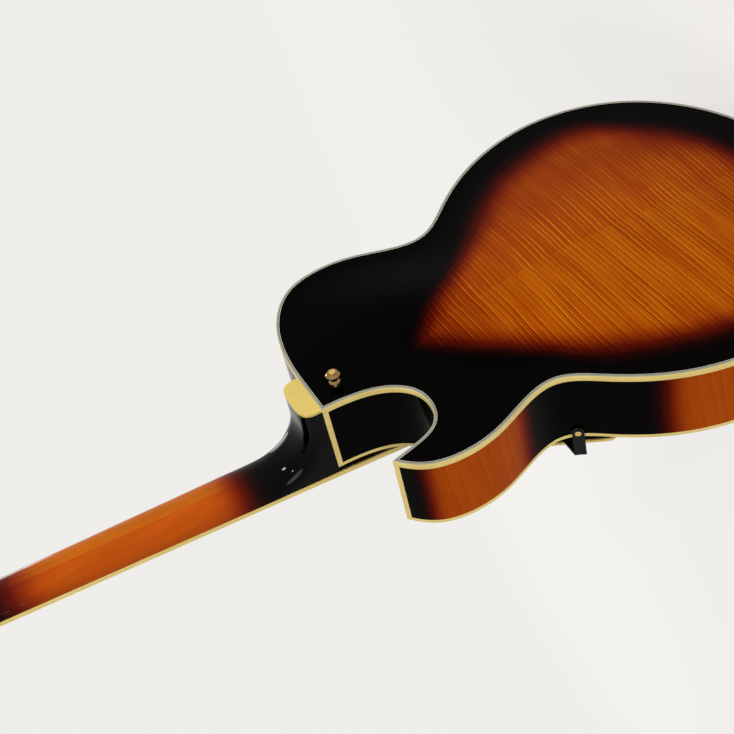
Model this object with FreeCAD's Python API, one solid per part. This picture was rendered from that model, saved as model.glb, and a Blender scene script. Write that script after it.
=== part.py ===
import FreeCAD, Part
import math
import os

from FreeCAD import Placement, Rotation, Vector

# A hollow archtop guitar with a pointed cutaway, hanging upright with its strings towards -Y.
# X runs from the bass side to the treble side, Y from the front to the back, Z up the neck.
# The origin is the middle of the neck at the nut, where a wall hanger's yoke carries it.
# Body places are (down, across, rise): down from the neck joint, across to treble, rise from the back.

# Strings and fingerboard
scale_length = 628.65
fret_count = 22
joint_fret = 14
nut_width = 43.0
board_end_width = 57.0
board_thickness = 6.0
board_radius = 305.0
board_past_last_fret = 5.0
board_binding = 1.7
fret_width = 2.3
fret_height = 1.1
fret_end_inset = 0.3
nut_length = 5.0
nut_proud = 2.2
nut_slot_above_frets = 0.6
nut_crown_lift = 0.5
nut_spacing = 7.1
bridge_spacing = 10.4
string_radii = [0.60, 0.46, 0.33, 0.23, 0.17, 0.13]
twelfth_fret_action = 2.4
string_bend = 4.0
marker_frets = [1, 3, 5, 7, 9, 12, 15, 17, 19, 21]
marker_depth = 1.6
marker_share_of_width = 0.62
marker_share_of_space = 0.5

# Body plan
body_length = 540.0
upper_bout_width = 293.0
upper_bout_at = 78.0
waist_width = 244.0
waist_at = 184.0
lower_bout_width = 406.0
lower_bout_at = 364.0
heel_flat = 50.0
cutaway_depth = 82.0
horn_tip_at = 23.0
shoulder_fullness = 2.2

# Body shell
body_depth = 81.0
plate_thickness = 5.0
rib_thickness = 3.0
back_crown = 17.0
top_crown = 17.0
edge_flat = 14.0
back_binding_height = 6.5
top_binding_height = 4.2
binding_width = 2.0
corner_strip_reach = 5.2
glue_gap = 0.15
lining_width = 6.0
lining_height = 12.0
tone_bar_spread = 96.0
tone_bar_width = 7.0
tone_bar_height = 11.0
tone_bar_start = 96.0
tone_bar_end = 455.0
neck_block_length = 58.0
neck_block_width = 64.0
tail_block_length = 26.0
tail_block_width = 76.0
horn_block_reach = 34.0
outline_step = 9.0
corner_turn = math.radians(30)

# Neck
neck_pitch = 5.3
board_above_top = 4.8
neck_depth_at_nut = 15.0
neck_depth_at_heel = 17.5
heel_radius = 40.0
heel_cap_length = 20.0
heel_cap_thickness = 3.0
heel_width = 50.0
tongue_thickness = 3.0
tongue_width = 44.0
tongue_overlap = 8.0
tongue_short_of_board = 14.0
tenon_width = 30.0
tenon_length = 28.0
tenon_low = 18.0
tenon_high = 72.0
fit_gap = 0.1
truss_rod_radius = 2.5
truss_rod_depth = 6.5
truss_rod_past_nut = 2.0
truss_rod_short_of_joint = 20.0
shaft_fullness = 2.15
heel_fullness = 3.5

# Headstock and tuners
head_angle = 14.0
head_length = 172.0
head_thickness = 13.0
head_veneer = 2.0
head_root_width = 66.0
head_top_width = 82.0
head_flare = 31.0
head_crest = 11.0
head_root_overlap = 12.0
head_root_thinning = 3.0
cover_width = 24.0
cover_length = 34.0
cover_thickness = 2.0
cover_from_nut = 2.0
cover_screw_inset = 5.0
tuner_first = 42.0
tuner_step = 42.0
tuner_inset = 13.5
post_radius = 3.0
post_height = 13.0
post_string_height = 5.0
bushing_radius = 5.0
bushing_flange = 7.0
bushing_flange_height = 2.0
bushing_short_of_back = 3.0
shaft_clearance = 0.05
housing_width = 15.0
housing_depth = 11.0
housing_wall = 1.4
housing_round = 1.2
housing_spare = 0.6
gear_radius = 4.8
gear_height = 4.0
gear_teeth = 14
gear_notch = 0.5
post_eye = 0.8
post_eye_above_run = 3.4
post_round = 0.8
post_end_gap = 0.3
worm_radius = 2.2
worm_gap = 0.15
worm_end_gap = 0.4
worm_groove_pitch = 1.6
worm_groove_width = 0.6
worm_groove_depth = 0.5
key_radius = 1.5
key_reach = 7.0
button_length = 15.0
button_width = 19.0
button_thickness = 6.5
button_socket = 3.0
button_collar = 4.0
winding_turns = 3
winding_gap = 0.45

# Bridge and tailpiece
bridge_foot_length = 148.0
bridge_foot_width = 13.0
bridge_shoulder = 26.0
bridge_end_drop = 5.0
bridge_arch_half = 31.0
bridge_arch_rise = 1.5
bridge_post_spread = 74.0
bridge_post_radius = 2.0
bridge_post_root = 5.0
bridge_post_below_top = 3.6
saddle_roof = 1.2
wheel_radius = 9.5
wheel_height = 2.6
wheel_clear = 2.0
wheel_bevel = 0.4
saddle_length = 88.0
saddle_width = 9.0
saddle_height = 8.5
saddle_notch = 0.4
saddle_shoulder = 12.0
saddle_shoulder_drop = 1.0
saddle_end_drop = 3.0
tail_bar_at = 428.0
tail_bar_length = 92.0
tail_bar_width = 16.0
tail_bar_height = 7.0
tail_bar_above_top = 6.0
tail_bar_round = 1.8
tail_rod_radius = 2.4
tail_rod_inset = 8.0
tail_rod_bend = 10.0
tail_ball_hole = 2.6
tail_ball_seat = 4.0
tail_hinge_width = 34.0
tail_plate_width = 42.0
tail_plate_length = 40.0
tail_plate_thickness = 2.0
tail_screw_spread = 12.0
hinge_pin_radius = 1.6
hinge_wall = 2.2
hinge_knuckle = 4.0
hinge_end = 3.0
hinge_side_gap = 0.4
hinge_behind_tail = 4.0
hinge_rise = 7.0

# Pickups and controls
pickup_places = [136.0, 238.0]
pickup_length = 69.0
pickup_width = 37.0
pickup_below_strings = 3.2
pickup_depth = 18.0
pickup_wall = 0.8
pickup_corner = 3.0
pickup_edge = 1.0
pole_spacing = 9.9
pole_radius = 2.3
pole_proud = 0.6
coil_gap = 0.5
coil_short = 4.0
ring_length = 92.0
ring_width = 47.0
ring_below_pickup = 3.0
ring_gap = 0.6
ring_corner = 4.0
ring_edge = 1.2
ring_screw_inset = 5.0
knob_places = {"neck_volume": (352.0, 104.0), "neck_tone": (396.0, 92.0),
               "bridge_volume": (366.0, 148.0), "bridge_tone": (410.0, 134.0)}
knob_radius = 12.0
knob_height = 13.0
knob_gap = 1.0
knob_skirt = 2.2
knob_grip_from = 5.5
knob_edge = 1.2
knob_hold = 8.0
knob_recess = 1.4
pot_radius = 12.0
pot_height = 9.0
pot_bushing = 4.0
pot_shaft = 3.0
pot_wall_gap = 3.0
pot_bushing_proud = 0.4
switch_place = (76.0, -92.0)
switch_bushing = 6.0
switch_bore = 4.2
switch_collar = 10.0
switch_collar_height = 3.0
switch_height = 6.0
switch_can = (16.0, 14.0, 22.0)
switch_bore_depth = 6.0
switch_pivot_radius = 2.6
switch_lever = 1.6
switch_lever_length = 19.0
switch_lever_tail = 5.0
switch_tip_length = 10.0
switch_tip_radius = 4.0
jack_bore = 3.25
jack_barrel = 5.5
jack_length = 30.0
jack_flange = 9.0
jack_flange_height = 3.0
jack_nut_height = 3.5
jack_end_wall = 2.0
jack_rise = 40.0

# Pickguard and strap buttons
guard_thickness = 3.0
guard_rise = 97.0
guard_start = 113.0
guard_end = 272.0
guard_inner = 48.0
guard_outer_start = 68.0
guard_widest_at = 236.0
guard_widest = 129.0
guard_end_width = 24.0
guard_turn = (10.0, 6.0)
guard_corner = 6.0
bracket_at = 199.0
bracket_width = 10.0
bracket_thickness = 2.0
bracket_foot = 14.0
bracket_foot_round = 6.0
bracket_reach = 20.0
strap_button_down = 25.5
strap_button_across = 2.0
strap_tail_rise = 26.0
strap_base_radius = 6.0
strap_neck_radius = 3.6
strap_head_radius = 6.8
strap_height = 12.5
strap_neck_from = 4.0
strap_neck_to = 6.6
strap_head_from = 9.2
strap_head_to = 10.6
screw_radius = 1.5
screw_head_radius = 3.0
screw_head_height = 1.4
screw_slot = (0.6, 1.2)
screw_length = 9.0
ring_screw_length = 22.0
f_hole_middle = 264.0
f_hole_across = 99.0
f_hole_length = 118.0
f_hole_upper_eye = 6.5
f_hole_lower_eye = 8.0

# Nodes that the screws pass through or bite into
screwed_nodes = ["pickup_rings", "top_bass_half", "top_treble_half", "rib_bass", "rib_treble",
                 "body_blocks", "kerfed_linings", "tailpiece_bracket", "pickguard_bracket", "pickguard",
                 "truss_rod_cover", "headstock_veneer", "neck", "strap_buttons",
                 "back_bass_half", "back_treble_half"]

# Values worked out from the sizes above
side_x = Vector(1, 0, 0)
front = Vector(0, -1, 0)
pitch = math.radians(neck_pitch)


def fret_at(number):
    return scale_length * (1 - 2 ** (-number / 12))


joint = fret_at(joint_fret)
board_length = fret_at(fret_count) + board_past_last_fret
glue_y = board_thickness - (board_thickness + neck_depth_at_nut) / 2
edge_z = joint * math.cos(pitch)
top_y = glue_y - joint * math.sin(pitch) + board_above_top
back_y = top_y + body_depth
bridge_at = scale_length * math.cos(pitch) - edge_z
neck_place = Placement(Vector(0, glue_y, 0), Rotation(side_x, -neck_pitch))
head_place = neck_place.multiply(Placement(Vector(0, 0, nut_length), Rotation(side_x, -head_angle)))
far = 3 * body_length


def spot(down, across, rise):
    return Vector(across, back_y - rise, -edge_z - down)


def line(first, second):
    return Part.LineSegment(first, second).toShape()


def curve(points, start=None, end=None):
    spline = Part.BSplineCurve()
    if start is None:
        spline.interpolate(points)
    else:
        spline.interpolate(Points=points, InitialTangent=start, FinalTangent=end)
    return spline


def face_of(points):
    return Part.Face(Part.makePolygon(points + points[:1]))


def raised(face, low, high):
    # A prism of a plan face drawn at rise 0
    moved = face.copy()
    moved.translate(front * low)
    return moved.extrude(front * (high - low))


def bench_box(down, across, rise):
    # A box from (low, high) pairs down, across and in rise
    corner = spot(down[1], across[0], rise[1])
    return Part.makeBox(across[1] - across[0], rise[1] - rise[0], down[1] - down[0], corner)


def local_box(place, x, y, z):
    box = Part.makeBox(x[1] - x[0], y[1] - y[0], z[1] - z[0], Vector(x[0], y[0], z[0]))
    box.Placement = place
    return box


def rod(first, second, radius):
    return Part.makeCylinder(radius, first.distanceToPoint(second), first, second - first)


def tube(first, second, outer, inner):
    return rod(first, second, outer).cut(rod(first, second, inner))


def mix(first, second, share):
    return first + (second - first) * share


def smooth(share):
    share = min(1.0, max(0.0, share))
    return share * share * (3 - 2 * share)


def fused(shapes):
    return shapes[0].multiFuse(shapes[1:]).removeSplitter() if len(shapes) > 1 else shapes[0]


# Plan of the body
def half_outline():
    # (down, half width) points: a full shoulder, a tight waist and an elliptical tail
    flat = heel_flat / 2
    upper, waist, lower = upper_bout_width / 2, waist_width / 2, lower_bout_width / 2
    power = 2 / shoulder_fullness
    points = [(0.0, flat)]
    for degrees in (25, 48, 68):
        turn = math.radians(degrees)
        points.append((upper_bout_at * (1 - math.cos(turn) ** power),
                       flat + (upper - flat) * math.sin(turn) ** power))
    points.append((upper_bout_at, upper))
    for share, drop in ((0.36, 0.20), (0.70, 0.77)):
        points.append((mix(upper_bout_at, waist_at, share), mix(upper, waist, drop)))
    points.append((waist_at, waist))
    for share, gain in ((0.22, 0.31), (0.54, 0.78)):
        points.append((mix(waist_at, lower_bout_at, share), mix(waist, lower, gain)))
    points.append((lower_bout_at, lower))
    for degrees in (30, 56, 76):
        turn = math.radians(degrees)
        points.append((mix(lower_bout_at, body_length, math.sin(turn)), lower * math.cos(turn)))
    points.append((body_length, 0.0))
    return points


def whole_outline():
    # One smooth curve from the bass side of the heel round the tail to the treble side
    bass = [spot(down, -half, 0) for down, half in half_outline()]
    treble = [spot(down, half, 0) for down, half in reversed(half_outline()[:-1])]
    return curve(bass + treble)


round_curve = whole_outline()
tail_parameter = round_curve.parameter(spot(body_length, 0, 0))
samples = [round_curve.value(mix(round_curve.FirstParameter, tail_parameter, i / 400)) for i in range(401)]
half_table = [(-point.z - edge_z, -point.x) for point in samples]


def half_width(down):
    if down <= half_table[0][0]:
        return half_table[0][1]
    for before, after in zip(half_table, half_table[1:]):
        if after[0] >= down:
            share = (down - before[0]) / max(after[0] - before[0], 1e-9)
            return mix(before[1], after[1], share)
    return 0.0


def tip_parameter():
    low, high = round_curve.LastParameter, tail_parameter
    for step in range(60):
        middle = (low + high) / 2
        if -round_curve.value(middle).z - edge_z < horn_tip_at:
            low = middle
        else:
            high = middle
    return low


horn_tip = round_curve.value(tip_parameter())
heel_corner = spot(0, heel_flat / 2, 0)


def cutaway_edge():
    # From the heel's treble corner round the bite to the horn's tip
    root = heel_flat / 2
    reach = horn_tip.x - root
    tip_down = horn_tip_at
    points = [heel_corner]
    for down_share, across_share in ((0.46, 0.045), (0.80, 0.18), (0.965, 0.355), (1.0, 0.60)):
        points.append(spot(cutaway_depth * down_share, root + reach * across_share, 0))
    for down_share, across_share in ((0.855, 0.815), (0.52, 0.925)):
        points.append(spot(mix(tip_down, cutaway_depth, down_share), root + reach * across_share, 0))
    points.append(horn_tip)
    return curve(points).toShape()


outline = Part.Wire([
    line(heel_corner, spot(0, -heel_flat / 2, 0)),
    round_curve.toShape(round_curve.FirstParameter, tail_parameter),
    round_curve.toShape(tail_parameter, tip_parameter()),
    cutaway_edge(),
])
outline_face = Part.Face(outline)
inset_faces = {}


def redrawn(face):
    # The face's rim drawn again as plain curves, one for each stretch between two corners
    rim = face.OuterWire
    runs = []
    for edge, start in zip(rim.OrderedEdges, rim.OrderedVertexes):
        straight = isinstance(edge.Curve, Part.Line)
        points = edge.discretize(2 if straight else 4 + int(edge.Length / outline_step))
        if points[0].distanceToPoint(start.Point) > points[-1].distanceToPoint(start.Point):
            points.reverse()
        if runs and (runs[-1][-1] - runs[-1][-2]).getAngle(points[1] - points[0]) < corner_turn:
            runs[-1] += points[1:]
        else:
            runs.append(points)
    return Part.Face(Part.Wire([line(*run) if len(run) == 2 else curve(run).toShape() for run in runs]))


def inset(distance):
    if distance not in inset_faces:
        inset_faces[distance] = redrawn(outline_face.makeOffset2D(-distance)) if distance else outline_face
    return inset_faces[distance]


def wall(outside, inside, low, high):
    # A closed band of the outline between two insets
    return raised(inset(outside), low, high).cut(raised(inset(inside), low - 1, high + 1))


# Arching of the plates
def arch(down, across, crown):
    low = -(half_width(down) - edge_flat)
    high_free = half_width(down) - edge_flat
    high_cut = heel_flat / 2 - edge_flat / 2
    high = mix(high_cut, high_free, smooth((down - cutaway_depth) / (waist_at - cutaway_depth)))
    long_share = (down - edge_flat) / (body_length - 2 * edge_flat)
    if not 0 < long_share < 1 or not low < across < high:
        return 0.0
    cross_share = (across - low) / (high - low)
    return crown * math.sin(math.pi * long_share) ** 1.5 * math.sin(math.pi * cross_share) ** 1.6


def arch_face(crown, rise_of):
    rows, columns = 34, 27
    reach = lower_bout_width / 2 + edge_flat
    grid = []
    for row in range(rows):
        down = mix(-edge_flat, body_length + edge_flat, row / (rows - 1))
        across = [mix(-reach, reach, column / (columns - 1)) for column in range(columns)]
        grid.append([spot(down, v, rise_of(arch(down, v, crown))) for v in across])
    surface = Part.BSplineSurface()
    surface.interpolate(grid)
    return surface.toShape()


back_skin = arch_face(back_crown, lambda height: -height)
top_skin = arch_face(top_crown, lambda height: body_depth + height)


def slab(skin, low, high):
    # What lies between two rises over a plate's outer skin
    moved = skin.copy()
    moved.translate(front * low)
    return moved.extrude(front * (high - low))


def top_height(down, across):
    return body_depth + arch(down, across, top_crown)


def highest_top(down, across, radius):
    turns = [math.radians(30 * step) for step in range(12)]
    around = [top_height(down + radius * math.cos(t), across + radius * math.sin(t)) for t in turns]
    return max(around + [top_height(down, across)])


# String heights
def board_rise(down):
    # Rise of the fingerboard's playing face on the centre line
    return body_depth + board_above_top + board_thickness + down * math.tan(pitch)


nut_top = board_thickness + fret_height + nut_slot_above_frets


def string_rise(down):
    at_nut = board_rise(-edge_z) + nut_top - board_thickness
    twelfth = fret_at(12) * math.cos(pitch) - edge_z
    at_twelfth = board_rise(twelfth) + fret_height + twelfth_fret_action
    return mix(at_nut, at_twelfth, (down + edge_z) / (twelfth + edge_z))


string_x = [(number - 2.5) for number in range(6)]


# Body pieces
def f_hole(side):
    # S-shaped sound hole with an eye at each end, as a prism through the top
    half = f_hole_length / 2
    spine = [(-0.84, -24, 2.2), (-0.98, -15, 2.4), (-0.86, -3, 3.2), (-0.45, -1, 4.6),
             (0.0, 0, 5.6), (0.45, 1, 4.6), (0.86, 3, 3.2), (0.98, 15, 2.4), (0.84, 24, 2.2)]
    places = [(f_hole_middle + half * share, f_hole_across + out) for share, out, width in spine]
    left, right = [], []
    for i, (down, across) in enumerate(places):
        before, after = places[max(i - 1, 0)], places[min(i + 1, len(places) - 1)]
        run = Vector(after[0] - before[0], after[1] - before[1], 0).normalize()
        width = spine[i][2]
        left.append(spot(down - run.y * width, side * (across + run.x * width), 0))
        right.append(spot(down + run.y * width, side * (across - run.x * width), 0))
    right.reverse()
    rim = Part.Wire([curve(left).toShape(), line(left[-1], right[0]),
                     curve(right).toShape(), line(right[-1], left[0])])
    low, high = body_depth - 2 * plate_thickness, body_depth + 2 * top_crown
    solid = raised(Part.Face(rim), low, high)
    for (down, across), radius in ((places[0], f_hole_upper_eye), (places[-1], f_hole_lower_eye)):
        eye = rod(spot(down, side * across, low), spot(down, side * across, high), radius)
        solid = solid.fuse(eye)
    return solid


def pickup_place(down):
    return Placement(spot(down, 0, string_rise(down) - pickup_below_strings), Rotation(side_x, -neck_pitch))


def top_plate():
    plate = slab(top_skin, 0, -plate_thickness)
    plate = plate.common(raised(inset(binding_width), 0, 2 * body_depth))
    cutters = [f_hole(-1), f_hole(1)]
    for down in pickup_places:
        half_x, half_z = pickup_length / 2 + ring_gap, pickup_width / 2 + ring_gap
        deep = (0, 2 * pickup_depth)
        cutters.append(local_box(pickup_place(down), (-half_x, half_x), deep, (-half_z, half_z)))
    for down, across in knob_places.values():
        cutters.append(through_top(down, across, pot_bushing + fit_gap))
    cutters.append(through_top(*switch_place, switch_bushing + fit_gap))
    return plate.cut(Part.Compound(cutters))


def through_top(down, across, radius):
    low, high = body_depth - 2 * plate_thickness, body_depth + 2 * top_crown
    return rod(spot(down, across, low), spot(down, across, high), radius)


def back_plate():
    plate = slab(back_skin, 0, plate_thickness)
    return plate.common(raised(inset(binding_width), -body_depth, body_depth))


def halves(solid):
    boxes = [bench_box((-far, far), span, (-far, far)) for span in ((-far, 0), (0, far))]
    return [solid.common(box) for box in boxes]


def corner_strips():
    # Upright binding on the horn's tip and on the heel's treble corner
    low, high = back_binding_height, body_depth - top_binding_height
    band = wall(0, binding_width, low, high)
    strips = []
    for corner in (horn_tip, heel_corner):
        strips.append(band.common(rod(corner, corner + front * body_depth, corner_strip_reach)))
    return strips


def jack_reach():
    # Narrowest and widest half width under the jack's flange
    widths = [half_width(lower_bout_at + jack_flange * share) for share in (-1, -0.5, 0, 0.5, 1)]
    return min(widths), max(widths)


def jack_axis():
    return spot(lower_bout_at, jack_reach()[1], jack_rise), side_x


def rib_walls(strips, bindings):
    low, high = plate_thickness + glue_gap, body_depth - plate_thickness - glue_gap
    band = wall(0, rib_thickness, low, high)
    place, axis = jack_axis()
    jack_hole = rod(place - axis * jack_length, place + axis * jack_length, jack_barrel + fit_gap)
    band = band.cut(Part.Compound(strips + bindings + [jack_hole, tenon(fit_gap)]))
    bass, rest = halves(band)
    # The cutaway rib is what lies in front of a line through the middle of the horn
    middle = [(horn_tip_at, horn_tip.x), (mix(horn_tip_at, upper_bout_at, 0.6), horn_tip.x + 4),
              (cutaway_depth + 30, upper_bout_width * 0.38), (cutaway_depth + 30, 0),
              (-10, 0), (-10, horn_tip.x)]
    bite = raised(face_of([spot(down, across, 0) for down, across in middle]), 0, body_depth)
    return bass, rest.cut(bite), rest.common(bite)


def tenon(gap):
    return bench_box((-5, tenon_length + gap), (-tenon_width / 2 - gap, tenon_width / 2 + gap),
                     (tenon_low - gap, tenon_high + gap))


def inside(low_gap, high_gap):
    # The space inside the ribs between the two plates
    inner = raised(inset(rib_thickness + glue_gap), -body_depth, 2 * body_depth)
    between = slab(back_skin, plate_thickness + low_gap, body_depth)
    return inner.common(between).common(slab(top_skin, -plate_thickness - high_gap, -body_depth))


def body_blocks(room):
    neck_end = bench_box((0, neck_block_length), (-neck_block_width / 2, neck_block_width / 2), (-far, far))
    tail_end = bench_box((body_length - tail_block_length, body_length),
                         (-tail_block_width / 2, tail_block_width / 2), (-far, far))
    horn = rod(horn_tip - front * far, horn_tip + front * far, horn_block_reach)
    neck_block = room.common(neck_end).cut(tenon(fit_gap))
    return [neck_block, room.common(tail_end), room.common(horn).cut(neck_block)]


def linings(room, blocks):
    band = wall(rib_thickness + glue_gap, rib_thickness + lining_width, -body_depth, 2 * body_depth)
    pieces_made = []
    for skin, low, high in ((back_skin, plate_thickness, plate_thickness + lining_height),
                            (top_skin, -plate_thickness, -plate_thickness - lining_height)):
        sign = 1 if high > low else -1
        layer = slab(skin, low + sign * glue_gap, high)
        pieces_made.append(band.common(layer).cut(Part.Compound(blocks + [tenon(fit_gap)])))
    return pieces_made


def tone_bars():
    layer = slab(top_skin, -plate_thickness - glue_gap, -plate_thickness - tone_bar_height)
    bars = []
    for side in (-1, 1):
        middle = side * tone_bar_spread / 2
        span = (middle - tone_bar_width / 2, middle + tone_bar_width / 2)
        bars.append(layer.common(bench_box((tone_bar_start, tone_bar_end), span, (0, 2 * body_depth))))
    return bars


# Neck and fingerboard
def on_neck(along, across=0.0, back=0.0):
    return neck_place.multVec(Vector(across, back, -along))


def board_width(along):
    return mix(nut_width, board_end_width, along / board_length)


def neck_row(origin, deep, width, depth, fullness):
    # Points round the back of the neck, with straight sides that run past the glue face
    count = 15
    points = []
    for i in range(count):
        turn = math.pi * i / (count - 1)
        across = math.copysign(abs(math.cos(turn)) ** (2 / fullness), math.cos(turn)) * width / 2
        below = depth * math.sin(turn) ** (2 / fullness) if 0 < i < count - 1 else 0.0
        points.append(origin + side_x * across + deep * below)
    sides = [deep * (heel_radius * share) for share in (1.0, 0.6, 0.25)]
    return [points[0] - out for out in sides] + points + [points[-1] - out for out in reversed(sides)]


def neck_rows():
    # Down the shaft, round the hollow of the heel, then down to the heel cap
    hollow = neck_depth_at_heel + heel_radius
    shaft_end = (edge_z - heel_cap_length - heel_radius - hollow * math.sin(pitch)) / math.cos(pitch)
    deep = neck_place.Rotation.multVec(Vector(0, 1, 0))
    rows = []
    for share in (0.0, 0.15, 0.3, 0.45, 0.6, 0.75, 0.88):
        along = mix(-nut_length, shaft_end, share)
        depth = mix(neck_depth_at_nut, neck_depth_at_heel, share)
        rows.append(neck_row(on_neck(along), deep, board_width(max(along, 0)), depth, shaft_fullness))
    centre = on_neck(shaft_end, 0, hollow)
    steps = 9
    for step in range(steps + 1):
        share = step / steps
        turn = mix(-pitch, math.pi / 2, share)
        out = Vector(0, -math.cos(turn), -math.sin(turn))
        depth = mix(neck_depth_at_heel, heel_cap_length, share)
        width = mix(board_width(shaft_end), heel_width, share)
        origin = centre + out * (heel_radius + depth)
        rows.append(neck_row(origin, out * -1, width, depth, mix(shaft_fullness, heel_fullness, share)))
    last_rise = back_y - centre.y
    for share in (0.5, 1.0):
        rise = mix(last_rise, heel_cap_thickness, share)
        origin = Vector(0, back_y - rise, rows[-1][3].z)
        rows.append(neck_row(origin, Vector(0, 0, 1), heel_width, heel_cap_length, heel_fullness))
    return rows


def skin_solid(rows):
    # A smooth skin through the rows, closed by flat ends and a lid across its open side
    shares = [i / (len(rows[0]) - 1) for i in range(len(rows[0]))]
    edges = []
    for row in rows:
        back = Part.BSplineCurve()
        back.interpolate(Points=row, Parameters=shares)
        edges.append(back.toShape())
    skin = Part.makeLoft([Part.Wire([edge]) for edge in edges], False, False)
    faces = list(skin.Faces)
    for row, edge in ((rows[0], edges[0]), (rows[-1], edges[-1])):
        faces.append(Part.Face(Part.Wire([edge, line(row[-1], row[0])])))
    long_sides = []
    for edge in skin.Edges:
        first, last = edge.valueAt(edge.FirstParameter), edge.valueAt(edge.LastParameter)
        if abs(first.x - last.x) < nut_width / 2:
            long_sides.append(edge)
    faces.append(Part.makeRuledSurface(*long_sides))
    shell = Part.Shell(faces)
    shell.sewShape()
    solid = Part.Solid(shell)
    return solid.reversed() if solid.Volume < 0 else solid


def heel_cap():
    rim = neck_row(spot(0, 0, 0), Vector(0, 0, 1), heel_width, heel_cap_length, heel_fullness)[3:-3]
    face = Part.Face(Part.Wire([curve(rim).toShape(), line(rim[-1], rim[0])]))
    return face.extrude(front * (heel_cap_thickness - glue_gap))


def head_face():
    # Headstock outline: a flared root, straight sides and a gently arched top
    root, top, neck_half = head_root_width / 2, head_top_width / 2, nut_width / 2
    flare = [(0.0, 0.0), (0.06, 5.0), (0.35, 12.0), (0.78, 20.0), (1.0, head_flare)]
    right = [Vector(mix(neck_half, root, out), 0, up) for out, up in flare]
    left = [Vector(-point.x, 0, point.z) for point in reversed(right)]
    shoulder = head_length - head_crest
    high = [Vector(top, 0, shoulder), Vector(0, 0, head_length), Vector(-top, 0, shoulder)]
    return Part.Face(Part.Wire([
        line(left[-1], right[0]),
        curve(right).toShape(),
        line(right[-1], high[0]),
        Part.Arc(*high).toShape(),
        line(high[2], left[0]),
        curve(left).toShape(),
    ]))


def tuner_spots():
    # (number, side, x, z) on the headstock, bass side first, from the nut up
    spots = []
    for number in range(6):
        side = -1 if number < 3 else 1
        step = number if number < 3 else 5 - number
        z = tuner_first + tuner_step * step
        straight = head_length - head_flare - head_crest
        half = mix(head_root_width, head_top_width, (z - head_flare) / straight) / 2
        spots.append((number + 1, side, side * (half - tuner_inset), z))
    return spots


def at_head(shape):
    moved = shape.copy()
    moved.Placement = head_place.multiply(moved.Placement)
    return moved


def post_holes(radius, low, high):
    return [rod(Vector(x, low, z), Vector(x, high, z), radius) for number, side, x, z in tuner_spots()]


def neck():
    solid = skin_solid(neck_rows())
    over_board = local_box(neck_place, (-far, far), (-far, 0), (-far, far))
    solid = solid.cut(over_board).cut(bench_box((0, far), (-far, far), (-far, far)))
    tongue_end = board_length - tongue_short_of_board
    tongue = local_box(neck_place, (-tongue_width / 2, tongue_width / 2), (0, tongue_thickness),
                       (-tongue_end, -joint + tongue_overlap))
    head = head_face().extrude(Vector(0, head_thickness, 0))
    head = at_head(head.cut(Part.Compound(post_holes(bushing_radius + fit_gap, -far, far))))
    root = local_box(neck_place, (-nut_width / 2, nut_width / 2), (0, head_thickness - head_root_thinning),
                     (-head_root_overlap, nut_length))
    solid = fused([solid, tongue, tenon(0), head, root])
    return solid.cut(truss_channel(fit_gap))


def truss_channel(gap):
    start = on_neck(-truss_rod_past_nut, 0, truss_rod_depth)
    end = on_neck(joint - truss_rod_short_of_joint, 0, truss_rod_depth)
    return rod(start, end, truss_rod_radius + gap)


def board_prism(margin, low, high, start=0.0, end=None):
    # A tapered slice of the fingerboard from the nut towards the body
    end = board_length - margin if end is None else end
    corners = [(start, board_width(start) / 2 - margin), (end, board_width(end) / 2 - margin)]
    points = [Vector(corners[0][1], low, -start), Vector(corners[1][1], low, -end),
              Vector(-corners[1][1], low, -end), Vector(-corners[0][1], low, -start)]
    return face_of(points).extrude(Vector(0, high - low, 0))


def crowned(radius):
    # Everything behind the rounded playing face
    centre = Vector(0, -board_thickness + board_radius, 0)
    return Part.makeCylinder(radius, 2 * far, centre - Vector(0, 0, far), Vector(0, 0, 1))


def marker_boxes():
    boxes = []
    for number in marker_frets:
        before, after = fret_at(number - 1), fret_at(number)
        middle, half = (before + after) / 2, (after - before) * marker_share_of_space / 2
        width = board_width(middle) * marker_share_of_width
        boxes.append(Part.makeBox(width, marker_depth * 2, half * 2,
                                  Vector(-width / 2, -board_thickness - marker_depth, -middle - half)))
    return boxes


def fingerboard_set():
    crown = crowned(board_radius)
    wood = board_prism(board_binding, -board_thickness, 0).common(crown)
    markers = [box.common(crown) for box in marker_boxes()]
    wood = wood.cut(Part.Compound(marker_boxes()))
    trim = board_prism(0, -board_thickness, 0).common(crown)
    trim = trim.cut(board_prism(board_binding, -far, far))
    raised_crown = crowned(board_radius + fret_height).cut(crown)
    frets = []
    for number in range(1, fret_count + 1):
        at = fret_at(number)
        slice_of = board_prism(fret_end_inset, -far, 0, at - fret_width / 2, at + fret_width / 2)
        frets.append(slice_of.common(raised_crown))
    return [place_on_neck(part) for part in (wood, trim, Part.Compound(frets), Part.Compound(markers))]


def place_on_neck(shape):
    moved = shape.copy()
    moved.Placement = neck_place.multiply(moved.Placement)
    return moved


def nut(string_tubes):
    height = nut_top + nut_proud - nut_slot_above_frets
    body = Part.makeBox(nut_width, height, nut_length, Vector(-nut_width / 2, -height, 0))
    crown = crowned(board_radius + nut_top - board_thickness + nut_crown_lift)
    body = place_on_neck(body.common(crown))
    return body.cut(Part.Compound(string_tubes))


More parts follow.
